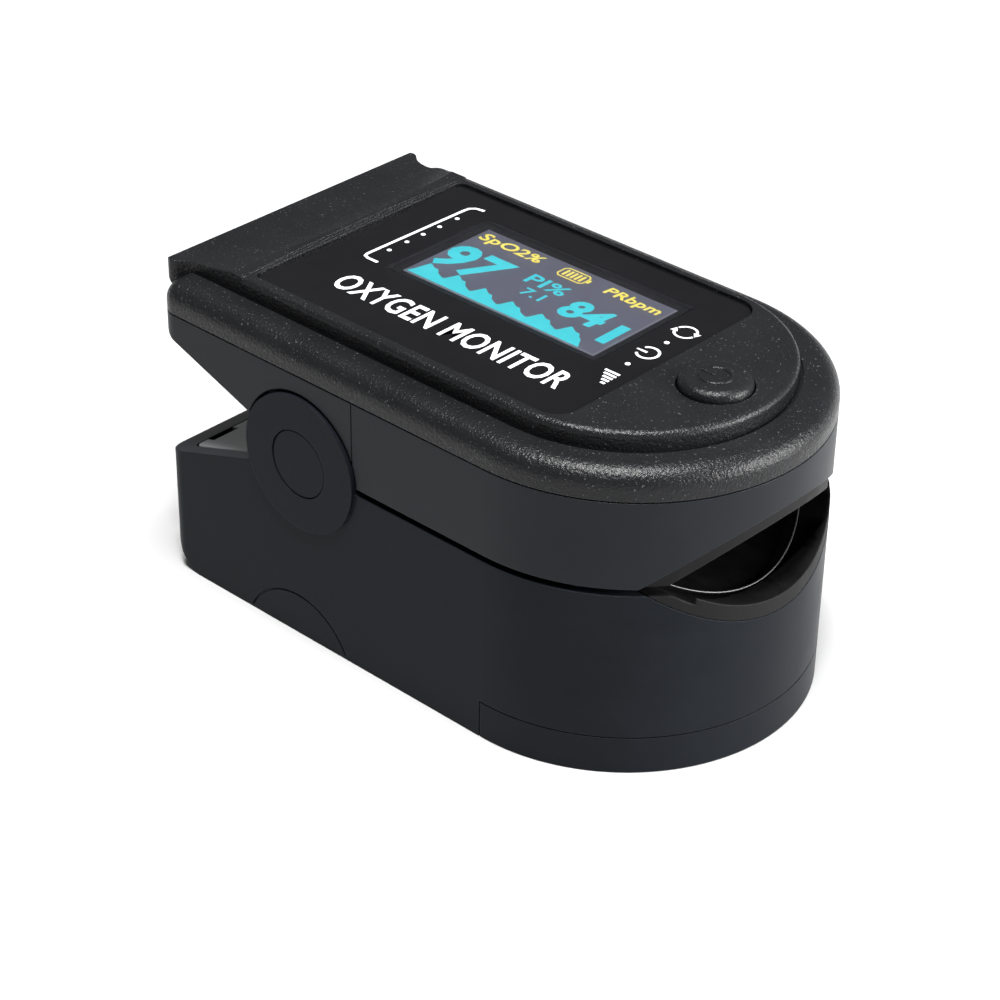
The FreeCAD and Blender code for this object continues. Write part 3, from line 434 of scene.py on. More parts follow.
@dataclass(frozen=True)
class Metal:
    """Drawn, rolled or plated metal with fine lines along one axis."""

    name: str
    base: Colour
    tarnish: Colour
    rough: tuple[float, float]
    stretch: tuple[float, float, float]
    line_scale: float = 3000.0
    depth: float = 0.004 * MM

    def build(self, effects: Effects) -> bpy.types.Material:
        """Return the material.

        Args:
            effects: The shared effects.

        Returns:
            The finished material.
        """
        material, tree, shader = new_material(self.name)
        where = tree.place()
        drawn = tree.add("ShaderNodeMapping")
        tree.feed(drawn.inputs["Vector"], where)
        drawn.inputs["Scale"].default_value = self.stretch
        lines = tree.noise(drawn.outputs[0], self.line_scale, 3.0, 0.6)
        marks = effects.marks.use(tree, Vector=where, Scale=Wave.CLOSE.value)
        wear = effects.wear.use(tree, Vector=where, Radius=0.08 * MM)
        dull = tree.math("MULTIPLY", marks.outputs["Patches"], 0.5)
        tone = tree.mix(dull, opaque(self.base), opaque(self.tarnish))
        tone = tree.mix(wear.outputs["Mask"], tone, opaque(tuple(min(1.0, 1.25 * c) for c in self.base)))
        tree.feed(shader.inputs["Base Color"], tone)
        tree.feed(shader.inputs["Roughness"], tree.remap(lines, 0.3, 0.7, *self.rough))
        shader.inputs["Metallic"].default_value = 1.0
        bump = tree.add("ShaderNodeBump")
        bump.inputs["Distance"].default_value = self.depth
        tree.feed(bump.inputs["Height"], lines)
        tree.feed(bump.inputs["Normal"], wear.outputs["Normal"])
        tree.feed(shader.inputs["Normal"], bump.outputs[0])
        return material


@dataclass(frozen=True)
class Clear:
    """Clear moulded or cut window, with faint smears in its gloss."""

    name: str
    tint: Colour
    rough: tuple[float, float]
    ior: float = 1.47

    def build(self, effects: Effects) -> bpy.types.Material:
        """Return the material.

        Args:
            effects: The shared effects.

        Returns:
            The finished material.
        """
        material, tree, shader = new_material(self.name)
        where = tree.place()
        marks = effects.marks.use(tree, Vector=where, Scale=Wave.MEDIUM.value)
        patches = marks.outputs["Patches"]
        tone = tree.mix(patches, opaque(self.tint), opaque(tuple(0.96 * c for c in self.tint)))
        tree.feed(shader.inputs["Base Color"], tone)
        tree.feed(shader.inputs["Roughness"], tree.remap(patches, 0.0, 1.0, *self.rough))
        shader.inputs["IOR"].default_value = self.ior
        shader.inputs["Transmission Weight"].default_value = 1.0
        bump = tree.add("ShaderNodeBump")
        bump.inputs["Distance"].default_value = 0.002 * MM
        tree.feed(bump.inputs["Height"], patches)
        tree.feed(shader.inputs["Normal"], bump.outputs[0])
        return material


@dataclass(frozen=True)
class Glow:
    """A glowing part of the display: a square dot grid over a base glow. The rim glow among them is painted
    light, not a lit part of the display.
    """

    name: str
    colour: Colour
    faded: Colour
    strength: float
    dot_pitch: float = 0.17 * MM
    gap_tone: float = 0.72

    def build(self, effects: Effects) -> bpy.types.Material:
        """Return the material.

        Args:
            effects: The shared effects.

        Returns:
            The finished material.
        """
        material, tree, shader = new_material(self.name)
        where = tree.place()
        across, along, _ = tree.axes(where)
        inside = []
        for axis in (across, along):
            phase = tree.math("FRACT", tree.math("DIVIDE", axis, self.dot_pitch))
            from_middle = tree.math("ABSOLUTE", tree.math("SUBTRACT", phase, 0.5))
            inside.append(tree.remap(from_middle, 0.34, 0.48, 1.0, 0.0))
        dots = tree.math("MULTIPLY", inside[0], inside[1])
        marks = effects.marks.use(tree, Vector=where, Scale=Wave.CLOSE.value)
        tone = tree.mix(marks.outputs["Patches"], opaque(self.colour), opaque(self.faded))
        gaps = opaque(tuple(self.gap_tone * c for c in self.faded))
        lit = tree.mix(dots, gaps, tone)
        tree.feed(shader.inputs["Emission Color"], lit)
        shader.inputs["Emission Strength"].default_value = self.strength
        unlit = tree.mix(dots, opaque((0.02, 0.02, 0.03)), opaque((0.04, 0.04, 0.05)))
        tree.feed(shader.inputs["Base Color"], unlit)
        tree.feed(shader.inputs["Roughness"], tree.remap(dots, 0.0, 1.0, 0.5, 0.35))
        bump = tree.add("ShaderNodeBump")
        bump.inputs["Distance"].default_value = 0.003 * MM
        tree.feed(bump.inputs["Height"], dots)
        tree.feed(shader.inputs["Normal"], bump.outputs[0])
        return material


@dataclass(frozen=True)
class Board:
    """Circuit board or flat lead: tracks under a coloured film."""

    name: str
    film: Colour
    track: Colour
    pad: Colour
    cell: float = 900.0
    rough: float = 0.38

    def build(self, effects: Effects) -> bpy.types.Material:
        """Return the material.

        Args:
            effects: The shared effects.

        Returns:
            The finished material.
        """
        material, tree, shader = new_material(self.name)
        where = tree.place()
        blocks = tree.add("ShaderNodeTexVoronoi", distance="CHEBYCHEV", feature="F1")
        tree.feed(blocks.inputs["Vector"], where)
        tree.feed(blocks.inputs["Scale"], self.cell)
        edge = tree.remap(blocks.outputs["Distance"], 0.42, 0.46, 0.0, 1.0)
        middle = tree.remap(blocks.outputs["Distance"], 0.09, 0.11, 1.0, 0.0)
        tone = tree.mix(edge, opaque(self.film), opaque(self.track))
        tone = tree.mix(middle, tone, opaque(self.pad))
        marks = effects.marks.use(tree, Vector=where, Scale=Wave.CLOSE.value)
        tone = tree.mix(tree.math("MULTIPLY", marks.outputs["Patches"], 0.25), tone, opaque(self.track))
        tree.feed(shader.inputs["Base Color"], tone)
        tree.feed(shader.inputs["Metallic"], tree.math("MULTIPLY", middle, 0.9))
        rough = tree.remap(marks.outputs["Patches"], 0.0, 1.0, self.rough, self.rough + 0.12)
        tree.feed(shader.inputs["Roughness"], rough)
        bump = tree.add("ShaderNodeBump")
        bump.inputs["Distance"].default_value = 0.03 * MM
        tree.feed(bump.inputs["Height"], tree.math("ADD", edge, middle))
        tree.feed(shader.inputs["Normal"], bump.outputs[0])
        return material


@dataclass(frozen=True)
class CellSleeve:
    """Shrunk sleeve of a battery cell: a wide band and bare metal ends."""

    name: str
    sleeve: Colour
    band: Colour
    metal: Colour
    front: float
    rear: float
    band_from: float
    band_to: float

    def build(self, effects: Effects) -> bpy.types.Material:
        """Return the material.

        Args:
            effects: The shared effects.

        Returns:
            The finished material.
        """
        material, tree, shader = new_material(self.name)
        where = tree.place()
        along = tree.axes(where)[0]
        ahead = tree.math("GREATER_THAN", along, self.front - 0.35 * MM)
        behind = tree.math("LESS_THAN", along, self.rear + 0.35 * MM)
        bare = tree.math("ADD", ahead, behind, clamp=True)
        past = tree.math("GREATER_THAN", along, self.band_from)
        short = tree.math("LESS_THAN", along, self.band_to)
        banded = tree.math("MULTIPLY", past, short)
        marks = effects.marks.use(tree, Vector=where, Scale=Wave.CLOSE.value)
        tone = tree.mix(banded, opaque(self.sleeve), opaque(self.band))
        tone = tree.mix(tree.math("MULTIPLY", marks.outputs["Streaks"], 0.3), tone, opaque(self.metal))
        tone = tree.mix(bare, tone, opaque(self.metal))
        tree.feed(shader.inputs["Base Color"], tone)
        tree.feed(shader.inputs["Metallic"], bare)
        tree.feed(shader.inputs["Roughness"], tree.remap(marks.outputs["Patches"], 0.0, 1.0, 0.25, 0.38))
        wear = effects.wear.use(tree, Vector=where, Radius=0.2 * MM)
        grain = effects.grain.use(tree, Vector=where, Scale=2500.0)
        bump = tree.add("ShaderNodeBump")
        bump.inputs["Distance"].default_value = 0.006 * MM
        tree.feed(bump.inputs["Height"], grain.outputs["Height"])
        tree.feed(bump.inputs["Normal"], wear.outputs["Normal"])
        tree.feed(shader.inputs["Normal"], bump.outputs[0])
        return material


class Palette:
    """Every finish of the object, built once and handed out by slot or by name."""

    def __init__(self, effects: Effects) -> None:
        """Build the materials.

        Args:
            effects: The shared effects.
        """
        self.effects = effects
        self.made: dict[str, bpy.types.Material] = {}
        for finish in self.finishes():
            self.made[finish.name] = finish.build(effects)

    def __getitem__(self, name: str) -> bpy.types.Material:
        """Return the material of that name."""
        return self.made[name]

    def finishes(self) -> list[object]:
        """Return every finish.

        Returns:
            The finishes, named for their record slots where they have one.
        """
        shell = dict(rough=(0.36, 0.44), grain_scale=9000.0, grain_depth=0.0035 * MM)
        satin = dict(base=(0.0072, 0.0088, 0.0115), tint=(0.0098, 0.0116, 0.0148),
                     rubbed=(0.035, 0.039, 0.046))
        nub, print_end = 1.2 * MM, 14 * MM
        left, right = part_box("battery_left"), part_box("battery_right")
        return [
            # The cover and the button paint bright glints into their grain in the rubbed colour, standing in
            # for light sparkling on it.
            Plastic("cover_plastic", (0.0075, 0.0078, 0.0085), (0.0105, 0.0108, 0.0118), (0.10, 0.105, 0.11),
                    (0.24, 0.30), 6800.0, 0.085 * MM, painted_glint=0.7, corner=0.12 * MM, wear_share=0.03,
                    specular=0.22),
            Plastic("button_plastic", (0.0075, 0.0078, 0.0085), (0.0105, 0.0108, 0.0118), (0.10, 0.105, 0.11),
                    (0.27, 0.33), 6800.0, 0.07 * MM, painted_glint=0.6, corner=0.12 * MM, wear_share=0.03,
                    specular=0.22),
            Plastic("housing_plastic", **satin, **shell, specular=0.15),
            Plastic("lower_housing", **satin, **shell, specular=0.06),
            # A mid-grey base for black plastic: painted reflection of the bright surroundings that the deck
            # shows, not the plastic's own colour.
            Plastic("inner_plastic", (0.165, 0.178, 0.180), (0.190, 0.204, 0.206), (0.22, 0.23, 0.235),
                    (0.38, 0.46), 7000.0, 0.006 * MM, specular=0.6),
            Plastic("label_gloss", (0.004, 0.004, 0.0048), (0.0052, 0.0052, 0.006), (0.03, 0.03, 0.034),
                    (0.13, 0.19), 1500.0, 0.0012 * MM, corner=0.10 * MM, specular=0.35),
            Plastic("pad_rubber", (0.0028, 0.0028, 0.003), (0.0042, 0.0042, 0.0045), (0.010, 0.010, 0.011),
                    (0.50, 0.62), 3800.0, 0.02 * MM, wave=Wave.CLOSE, corner=0.2 * MM, specular=0.16),
            # The bead rubber is lighter and glossier than the pad rubber: painted highlight for the thin
            # bright line along the lower pad's inner lip edge.
            Plastic("bead_highlight_rubber", (0.012, 0.012, 0.013), (0.016, 0.016, 0.017), (0.05, 0.05, 0.052),
                    (0.30, 0.38), 3800.0, 0.004 * MM, wave=Wave.CLOSE, corner=0.02 * MM, specular=0.6),
            Plastic("chip_resin", (0.010, 0.010, 0.011), (0.014, 0.014, 0.015), (0.05, 0.05, 0.05),
                    (0.45, 0.6), 6000.0, 0.02 * MM, wave=Wave.CLOSE),
            Plastic("switch_resin", (0.62, 0.58, 0.49), (0.54, 0.50, 0.42), (0.7, 0.68, 0.6),
                    (0.4, 0.5), 5000.0, 0.01 * MM, wave=Wave.CLOSE),
            Plastic("lamp_resin", (0.50, 0.08, 0.06), (0.42, 0.06, 0.05), (0.7, 0.3, 0.25),
                    (0.15, 0.25), 4000.0, 0.004 * MM, wave=Wave.CLOSE, coat=0.5),
            Plastic("sensor_resin", (0.02, 0.02, 0.035), (0.03, 0.028, 0.05), (0.1, 0.1, 0.12),
                    (0.15, 0.25), 4000.0, 0.004 * MM, wave=Wave.CLOSE, coat=0.5),
            Plastic("panel_glass", (0.006, 0.006, 0.009), (0.009, 0.009, 0.013), (0.06, 0.06, 0.07),
                    (0.08, 0.14), 1500.0, 0.001 * MM, corner=0.06 * MM, coat=0.3),
            Plastic("print_white", (0.80, 0.81, 0.82), (0.72, 0.73, 0.74), (0.84, 0.84, 0.84),
                    (0.42, 0.5), 7000.0, 0.004 * MM, wave=Wave.CLOSE, corner=0.02 * MM),
            Metal("bright_metal", (0.68, 0.67, 0.64), (0.48, 0.46, 0.42), (0.18, 0.32), (1.0, 1.0, 8.0)),
            Metal("screw_steel", (0.46, 0.47, 0.49), (0.33, 0.34, 0.35), (0.28, 0.42), (1.0, 1.0, 0.3)),
            Metal("spring_steel", (0.55, 0.54, 0.52), (0.38, 0.36, 0.34), (0.22, 0.36), (0.4, 1.0, 1.0)),
            Metal("shaft_steel", (0.60, 0.60, 0.60), (0.45, 0.45, 0.45), (0.14, 0.26), (6.0, 0.4, 6.0)),
            Clear("window_clear", (0.80, 0.81, 0.85), (0.02, 0.05)),
            Clear("lens_clear", (0.70, 0.66, 0.68), (0.06, 0.12), ior=1.49),
            Glow("screen_lit", (0.150, 0.152, 0.200), (0.135, 0.136, 0.180), 1.0, gap_tone=0.86),
            Glow("glow_cyan", (0.05, 0.84, 0.90), (0.03, 0.76, 0.83), 1.35),
            Glow("glow_yellow", (0.92, 0.80, 0.12), (0.86, 0.72, 0.08), 1.9),
            # The rim glow is painted light: a dim glowing strip that stands for the lighter border made by
            # the window's refraction of the panel's rim.
            Glow("painted_rim_light", (0.33, 0.32, 0.33), (0.30, 0.29, 0.30), 1.0, gap_tone=0.9),
            Board("board_resin", (0.012, 0.10, 0.045), (0.02, 0.17, 0.075), (0.75, 0.58, 0.25)),
            Board("lead_film", (0.42, 0.17, 0.03), (0.60, 0.27, 0.07), (0.70, 0.52, 0.22),
                  cell=1400.0, rough=0.3),
            CellSleeve("cell_wrap_a", (0.020, 0.022, 0.028), (0.42, 0.20, 0.08), (0.6, 0.6, 0.6),
                       left[1].x, left[0].x, left[1].x - print_end, left[1].x - nub),
            CellSleeve("cell_wrap_b", (0.020, 0.022, 0.028), (0.42, 0.20, 0.08), (0.6, 0.6, 0.6),
                       right[1].x, right[0].x, right[0].x + nub, right[0].x + print_end),
        ]


def dress_nodes(palette: Palette) -> None:
    """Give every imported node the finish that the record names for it.

    The lower shell, the door and the hinge caps wear one shared, less glossy finish instead.

    Args:
        palette: The finishes.
    """
    finish_of = {part["node"]: part["material_slot"] for part in frame["record"]["subparts"]}
    finish_of.update(lower_shell="lower_housing", battery_door="lower_housing",
                     hinge_caps="lower_housing")
    for name, node in sorted(frame["nodes"].items()):
        material = palette[finish_of[name]]
        node.data.materials.clear()
        node.data.materials.append(material)
        LOG.info("node %s wears %s", name, material.name)


# Meshes.


def joined(shapes: list[bmesh.types.BMesh]) -> bmesh.types.BMesh:
    """Join several meshes into one and free them.

    Args:
        shapes: The meshes.

    Returns:
        One mesh with all of them.
    """
    whole = bmesh.new()
    for shape in shapes:
        data = bpy.data.meshes.new("joining")
        shape.to_mesh(data)
        shape.free()
        whole.from_mesh(data)
        bpy.data.meshes.remove(data)
    return whole


def mesh_of_curve(curve: bpy.types.Curve) -> bmesh.types.BMesh:
    """Turn a curve or text into a mesh and delete it.

    Args:
        curve: The curve data.

    Returns:
        Its mesh.
    """
    holder = bpy.data.objects.new("drawing", curve)
    bpy.context.scene.collection.objects.link(holder)
    bpy.context.view_layer.update()
    graph = bpy.context.evaluated_depsgraph_get()
    data = bpy.data.meshes.new_from_object(holder.evaluated_get(graph))
    shape = bmesh.new()
    shape.from_mesh(data)
    bmesh.ops.remove_doubles(shape, verts=shape.verts, dist=1e-7)
    bpy.data.meshes.remove(data)
    bpy.data.objects.remove(holder)
    bpy.data.curves.remove(curve)
    return shape


def extent(shape: bmesh.types.BMesh) -> tuple[Vector, Vector]:
    """Return the lowest and highest corners of a mesh."""
    low = Vector(min(v.co[i] for v in shape.verts) for i in range(3))
    high = Vector(max(v.co[i] for v in shape.verts) for i in range(3))
    return low, high


@dataclass(frozen=True)
class Area:
    """A flat rectangle that something is drawn into, in millimetres."""

    x0: float
    x1: float
    y0: float
    y1: float


@dataclass
class Ink:
    """Draws flat marks at one height, a little thick so that they are solid.

    Places along the label count from the middle of the straight sides, at x.
    """

    z: float
    thick: float
    x: float = 0.0
    shapes: list[bmesh.types.BMesh] = field(default_factory=list)

    def words(self, text: str, area: Area, bold: float = 0.0, lean: float = 0.0) -> None:
        """Draw words that fill a rectangle.

        Args:
            text: The words.
            area: The rectangle, in millimetres.
            bold: Extra stroke width as a share of the letter size.
            lean: Slant of the letters.
        """
        curve = bpy.data.curves.new("words", "FONT")
        curve.body = text
        curve.size = 1.0
        curve.offset = bold
        curve.shear = lean
        curve.space_character = 1.04
        curve.resolution_u = 3
        curve.extrude = 0.5
        shape = mesh_of_curve(curve)
        low, high = extent(shape)
        size = high - low
        wide, deep = (area.x1 - area.x0) * MM, (area.y1 - area.y0) * MM
        grow = Vector((wide / size.x, deep / size.y, self.thick / size.z))
        bmesh.ops.translate(shape, vec=-low, verts=shape.verts)
        bmesh.ops.scale(shape, vec=grow, verts=shape.verts)
        bmesh.ops.translate(shape, vec=(area.x0 * MM, area.y0 * MM, self.z), verts=shape.verts)
        self.shapes.append(shape)

    def line(self, points: list[tuple[float, float]], width: float, closed: bool = False) -> None:
        """Draw a line of even width.

        Args:
            points: Its corners, in millimetres.
            width: Its width, in millimetres.
            closed: Whether it returns to its start.
        """
        curve = bpy.data.curves.new("line", "CURVE")
        curve.dimensions = "3D"
        curve.bevel_depth = width / 2 * MM
        curve.bevel_resolution = 2
        curve.use_fill_caps = not closed
        spline = curve.splines.new("POLY")
        spline.points.add(len(points) - 1)
        for spot, (x, y) in zip(spline.points, points):
            spot.co = (x * MM, y * MM, 0.0, 1.0)
        spline.use_cyclic_u = closed
        shape = mesh_of_curve(curve)
        flatten = self.thick / (width * MM)
        bmesh.ops.scale(shape, vec=(1.0, 1.0, flatten), verts=shape.verts)
        bmesh.ops.translate(shape, vec=(0.0, 0.0, self.z + self.thick / 2), verts=shape.verts)
        bmesh.ops.recalc_face_normals(shape, faces=shape.faces)
        self.shapes.append(shape)

    def arc(self, x: float, y: float, r: float, start: float, end: float, width: float) -> None:
        """Draw part of a circle.

        Args:
            x: Centre, in millimetres.
            y: Centre, in millimetres.
            r: Radius, in millimetres.
            start: First angle in degrees.
            end: Last angle in degrees.
            width: Line width, in millimetres.
        """
        steps = max(6, int(abs(end - start) / 12))
        turns = [math.radians(start + (end - start) * i / steps) for i in range(steps + 1)]
        self.line([(x + r * math.cos(a), y + r * math.sin(a)) for a in turns], width)

    def dot(self, x: float, y: float, r: float) -> None:
        """Draw a dot.

        Args:
            x: Centre, in millimetres.
            y: Centre, in millimetres.
            r: Radius, in millimetres.
        """
        shape = bmesh.new()
        bmesh.ops.create_cone(shape, cap_ends=True, segments=20, radius1=r * MM, radius2=r * MM * 0.96,
                              depth=self.thick)
        bmesh.ops.translate(shape, vec=(x * MM, y * MM, self.z + self.thick / 2), verts=shape.verts)
        self.shapes.append(shape)

    def block(self, area: Area) -> None:
        """Draw a filled rectangle.

        Args:
            area: The rectangle, in millimetres.
        """
        shape = bmesh.new()
        bmesh.ops.create_cube(shape, size=1.0)
        grow = ((area.x1 - area.x0) * MM, (area.y1 - area.y0) * MM, self.thick)
        middle = ((area.x0 + area.x1) / 2 * MM, (area.y0 + area.y1) / 2 * MM, self.z + self.thick / 2)
        bmesh.ops.scale(shape, vec=grow, verts=shape.verts)
        bmesh.ops.translate(shape, vec=middle, verts=shape.verts)
        self.shapes.append(shape)

    def head(self, x: float, y: float, aim: float, size: float) -> None:
        """Draw an arrow head.

        Args:
            x: Middle, in millimetres.
            y: Middle, in millimetres.
            aim: Direction in degrees.
            size: Radius of its corners, in millimetres.
        """
        shape = bmesh.new()
        bmesh.ops.create_cone(shape, cap_ends=True, segments=3, radius1=size * MM, radius2=size * MM,
                              depth=self.thick)
        turn = Matrix.Rotation(math.radians(aim - 90.0), 4, "Z")
        bmesh.ops.transform(shape, matrix=turn, verts=shape.verts)
        bmesh.ops.translate(shape, vec=(x * MM, y * MM, self.z + self.thick / 2), verts=shape.verts)
        self.shapes.append(shape)

    def finish(self) -> bmesh.types.BMesh:
        """Return everything drawn, as one mesh."""
        whole = joined(self.shapes)
        self.shapes = []
        bmesh.ops.translate(whole, vec=(self.x, 0.0, 0.0), verts=whole.verts)
        return whole


def label_middle() -> float:
    """Return where the drawn marks count their x from, behind the label's front edge."""
    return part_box("label_plate")[1].x - LABEL_REACH * MM


def make_piece(name: str, shape: bmesh.types.BMesh, body: Body, material: bpy.types.Material,
               smooth_below: float = 0.0) -> bpy.types.Object:
    """Turn a mesh into a piece that rides on a body.

    Args:
        name: The piece's name.
        shape: Its mesh, already in place.
        body: The body it moves with.
        material: Its finish.
        smooth_below: Edges flatter than this angle in degrees are shaded smooth.

    Returns:
        The piece.
    """
    data = bpy.data.meshes.new(name)
    shape.to_mesh(data)
    shape.free()
    data.materials.append(material)
    piece = bpy.data.objects.new(name, data)
    bpy.context.scene.collection.objects.link(piece)
    if smooth_below:
        for face in data.polygons:
            face.use_smooth = True
        data.set_sharp_from_angle(angle=math.radians(smooth_below))
    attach(piece, body.value)
    LOG.info("piece %s on %s, %d faces", name, body.value, len(data.polygons))
    return piece


# Sub-assemblies.


@dataclass
class LabelPrint:
    """The white print on the glossy label."""

    palette: Palette
    lift: float = 0.006 * MM
    thick: float = 0.018 * MM
    line_width: float = 0.34

    def build(self) -> None:
        """Print the words, the bracket with its dots and the row of symbols."""
        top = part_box("label_plate")[1]
        ink = Ink(top.z + self.lift, self.thick, label_middle())
        ink.words("OXYGEN MONITOR", Area(-15.1, 10.7, -9.25, -6.45), bold=0.016)
        self.bracket(ink)
        self.symbols(ink, LABEL_REACH - 2.15)
        make_piece("label_print", ink.finish(), Body.UPPER, self.palette["print_white"])

    def bracket(self, ink: Ink) -> None:
        """Draw the rear bracket line and its dots.

        Args:
            ink: Where it is drawn.
        """
        path = [(-15.0, -3.45), (-16.2, -3.45), (-16.65, -3.3), (-16.8, -2.9), (-16.6, 9.2),
                (-16.5, 9.75), (-16.1, 10.15), (-15.2, 10.3)]
        ink.line(path, self.line_width)
        for y in (-1.1, 1.1, 3.15, 5.25, 7.5):
            ink.dot(-15.9, y, 0.22)

    def symbols(self, ink: Ink, x: float) -> None:
        """Draw the row of small symbols in front of the display.

        Args:
            ink: Where they are drawn.
            x: The row's place along the label, in millimetres.
        """
        for i in range(5):
            side = -5.9 + 0.46 * i
            ink.block(Area(x + 0.35 - 0.27 * i, x + 0.8, side, side + 0.26))
        for y in (-2.0, 2.95):
            ink.dot(x, y, 0.24)
        ink.arc(x, 0.55, 0.95, 215.0, 505.0, 0.27)
        ink.line([(x - 0.1, 0.55), (x - 1.15, 0.55)], 0.27)
        ink.arc(x, 5.4, 0.98, 20.0, 165.0, 0.25)
        ink.arc(x, 5.4, 0.98, 200.0, 345.0, 0.25)
        ink.head(x + 0.98, 5.6, -80.0, 0.4)
        ink.head(x - 0.98, 5.2, 100.0, 0.4)


@dataclass
class DisplayGraphics:
    """What the lit display shows: readings, their names, a bar and the pulse trace."""

    palette: Palette
    lift: float = 0.006 * MM
    thick: float = 0.014 * MM
    peaks: int = 6
    steps: int = 150
    readings: dict[str, Area] = field(default_factory=lambda: {
        "97": Area(-12.6, -5.9, 0.15, 4.9),
        "84": Area(1.5, 6.0, 0.8, 4.1),
    })
    names: dict[str, Area] = field(default_factory=lambda: {
        "SpO2%": Area(-12.4, -5.3, 6.0, 7.75),
        "PRbpm": Area(2.2, 8.2, 6.0, 7.6),
    })
    side_names: dict[str, Area] = field(default_factory=lambda: {
        "PI%": Area(-4.1, 0.2, 3.2, 4.9),
        "7.1": Area(-2.9, -0.6, 1.3, 2.6),
    })

    def build(self) -> None:
        """Draw the graphics just over the lit panel."""
        low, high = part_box("display_screen")
        cyan = Ink(high.z + self.lift, self.thick, label_middle())
        for text, area in self.readings.items():
            cyan.words(text, area, bold=0.035, lean=0.12)
        for text, area in self.side_names.items():
            cyan.words(text, area, bold=0.015)
        cyan.block(Area(7.25, 8.25, -0.45, 3.1))
        start, end = low.x - cyan.x + 0.25 * MM, high.x - cyan.x - 1.9 * MM
        cyan.shapes.append(self.trace(start, end, low.y + 0.25 * MM, high.z))
        make_piece("display_cyan", cyan.finish(), Body.UPPER, self.palette["glow_cyan"])
        yellow = Ink(high.z + self.lift, self.thick, label_middle())
        for text, area in self.names.items():
            yellow.words(text, area, bold=0.02, lean=0.1)
        self.striped_cell(yellow)
        make_piece("display_yellow", yellow.finish(), Body.UPPER, self.palette["glow_yellow"])
        # Painted light: two thin glowing strips along the panel's edges stand in for the lighter border made
        # by the window's refraction of the panel's rim.
        rim_light = Ink(high.z + self.lift, self.thick)
        edge = 0.05
        box = (low.x / MM + edge, high.x / MM - edge, low.y / MM + edge, high.y / MM - edge)
        rim_light.block(Area(box[0], box[1], box[2], box[2] + 0.1))
        rim_light.block(Area(box[1] - 0.1, box[1], box[2] + 0.12, box[3]))
        make_piece("display_rim_painted_light", rim_light.finish(), Body.UPPER, self.palette["painted_rim_light"])

    def striped_cell(self, ink: Ink) -> None:
        """Draw the charge symbol: a round-cornered box with bars in it.

        Args:
            ink: Where it is drawn.
        """
        left, right, low, high = -2.95, -0.05, 6.15, 7.75
        corner = 0.3
        path = [(left + corner, low), (right - corner, low), (right, low + corner), (right, high - corner),
                (right - corner, high), (left + corner, high), (left, high - corner), (left, low + corner)]
        ink.line(path, 0.16, closed=True)
        for i in range(5):
            x = left + 0.42 + 0.46 * i
            ink.block(Area(x, x + 0.24, low + 0.28, high - 0.28))
        ink.block(Area(right + 0.12, right + 0.36, low + 0.5, high - 0.5))

    def height(self, share: float) -> float:
        """Return the pulse trace's height at a share of its length.

        Args:
            share: From 0 at the rear to 1 at the front.

        Returns:
            The height in millimetres.
        """
        beat = share * self.peaks % 1.0
        rise = min(1.0, beat / 0.22)
        fall = 1.0 if beat < 0.22 else max(0.0, 1.0 - (beat - 0.22) / 0.78)
        notch = 0.26 * math.exp(-((beat - 0.58) / 0.085) ** 2)
        foot = min(1.0, share / 0.03) * min(1.0, (1.0 - share) / 0.03)
        wander = 0.12 * math.sin(9.0 * share) - 0.18 * share
        pulse = (rise * rise * (3.0 - 2.0 * rise)) * fall ** 1.25
        return 0.12 + foot * (0.85 + wander + 1.35 * pulse + notch)

    def trace(self, x0: float, x1: float, y0: float, z: float) -> bmesh.types.BMesh:
        """Return the filled pulse trace.

        Args:
            x0: Its rear end.
            x1: Its front end.
            y0: Its base line.
            z: Height of the lit panel's top.

        Returns:
            The mesh.
        """
        shape = bmesh.new()
        bmesh.ops.create_grid(shape, x_segments=self.steps, y_segments=1, size=0.5)
        for corner in shape.verts:
            share = corner.co.x + 0.5
            tall = self.height(share) * MM if corner.co.y > 0 else 0.0
            corner.co = Vector((x0 + (x1 - x0) * share, y0 + tall, z + self.lift))
        bmesh.ops.solidify(shape, geom=shape.faces[:], thickness=-self.thick)
        bmesh.ops.recalc_face_normals(shape, faces=shape.faces)
        return shape


@dataclass
class ButtonMark:
    """The power symbol moulded on the button's face."""

    palette: Palette
    rise: float = 0.24 * MM
    ring: float = 1.3
    width: float = 0.38

    def build(self) -> None:
        """Mould the symbol on the button."""
        low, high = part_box("power_button")
        x, y = (low.x + high.x) / 2 / MM, (low.y + high.y) / 2 / MM
        ink = Ink(high.z - self.rise * 0.5, self.rise)
        ink.arc(x, y, self.ring, 218.0, 502.0, self.width)
        ink.line([(x - 0.1, y), (x - self.ring - 0.2, y)], self.width)
        make_piece("button_mark", ink.finish(), Body.BUTTON, self.palette["button_plastic"],
                   smooth_below=50.0)


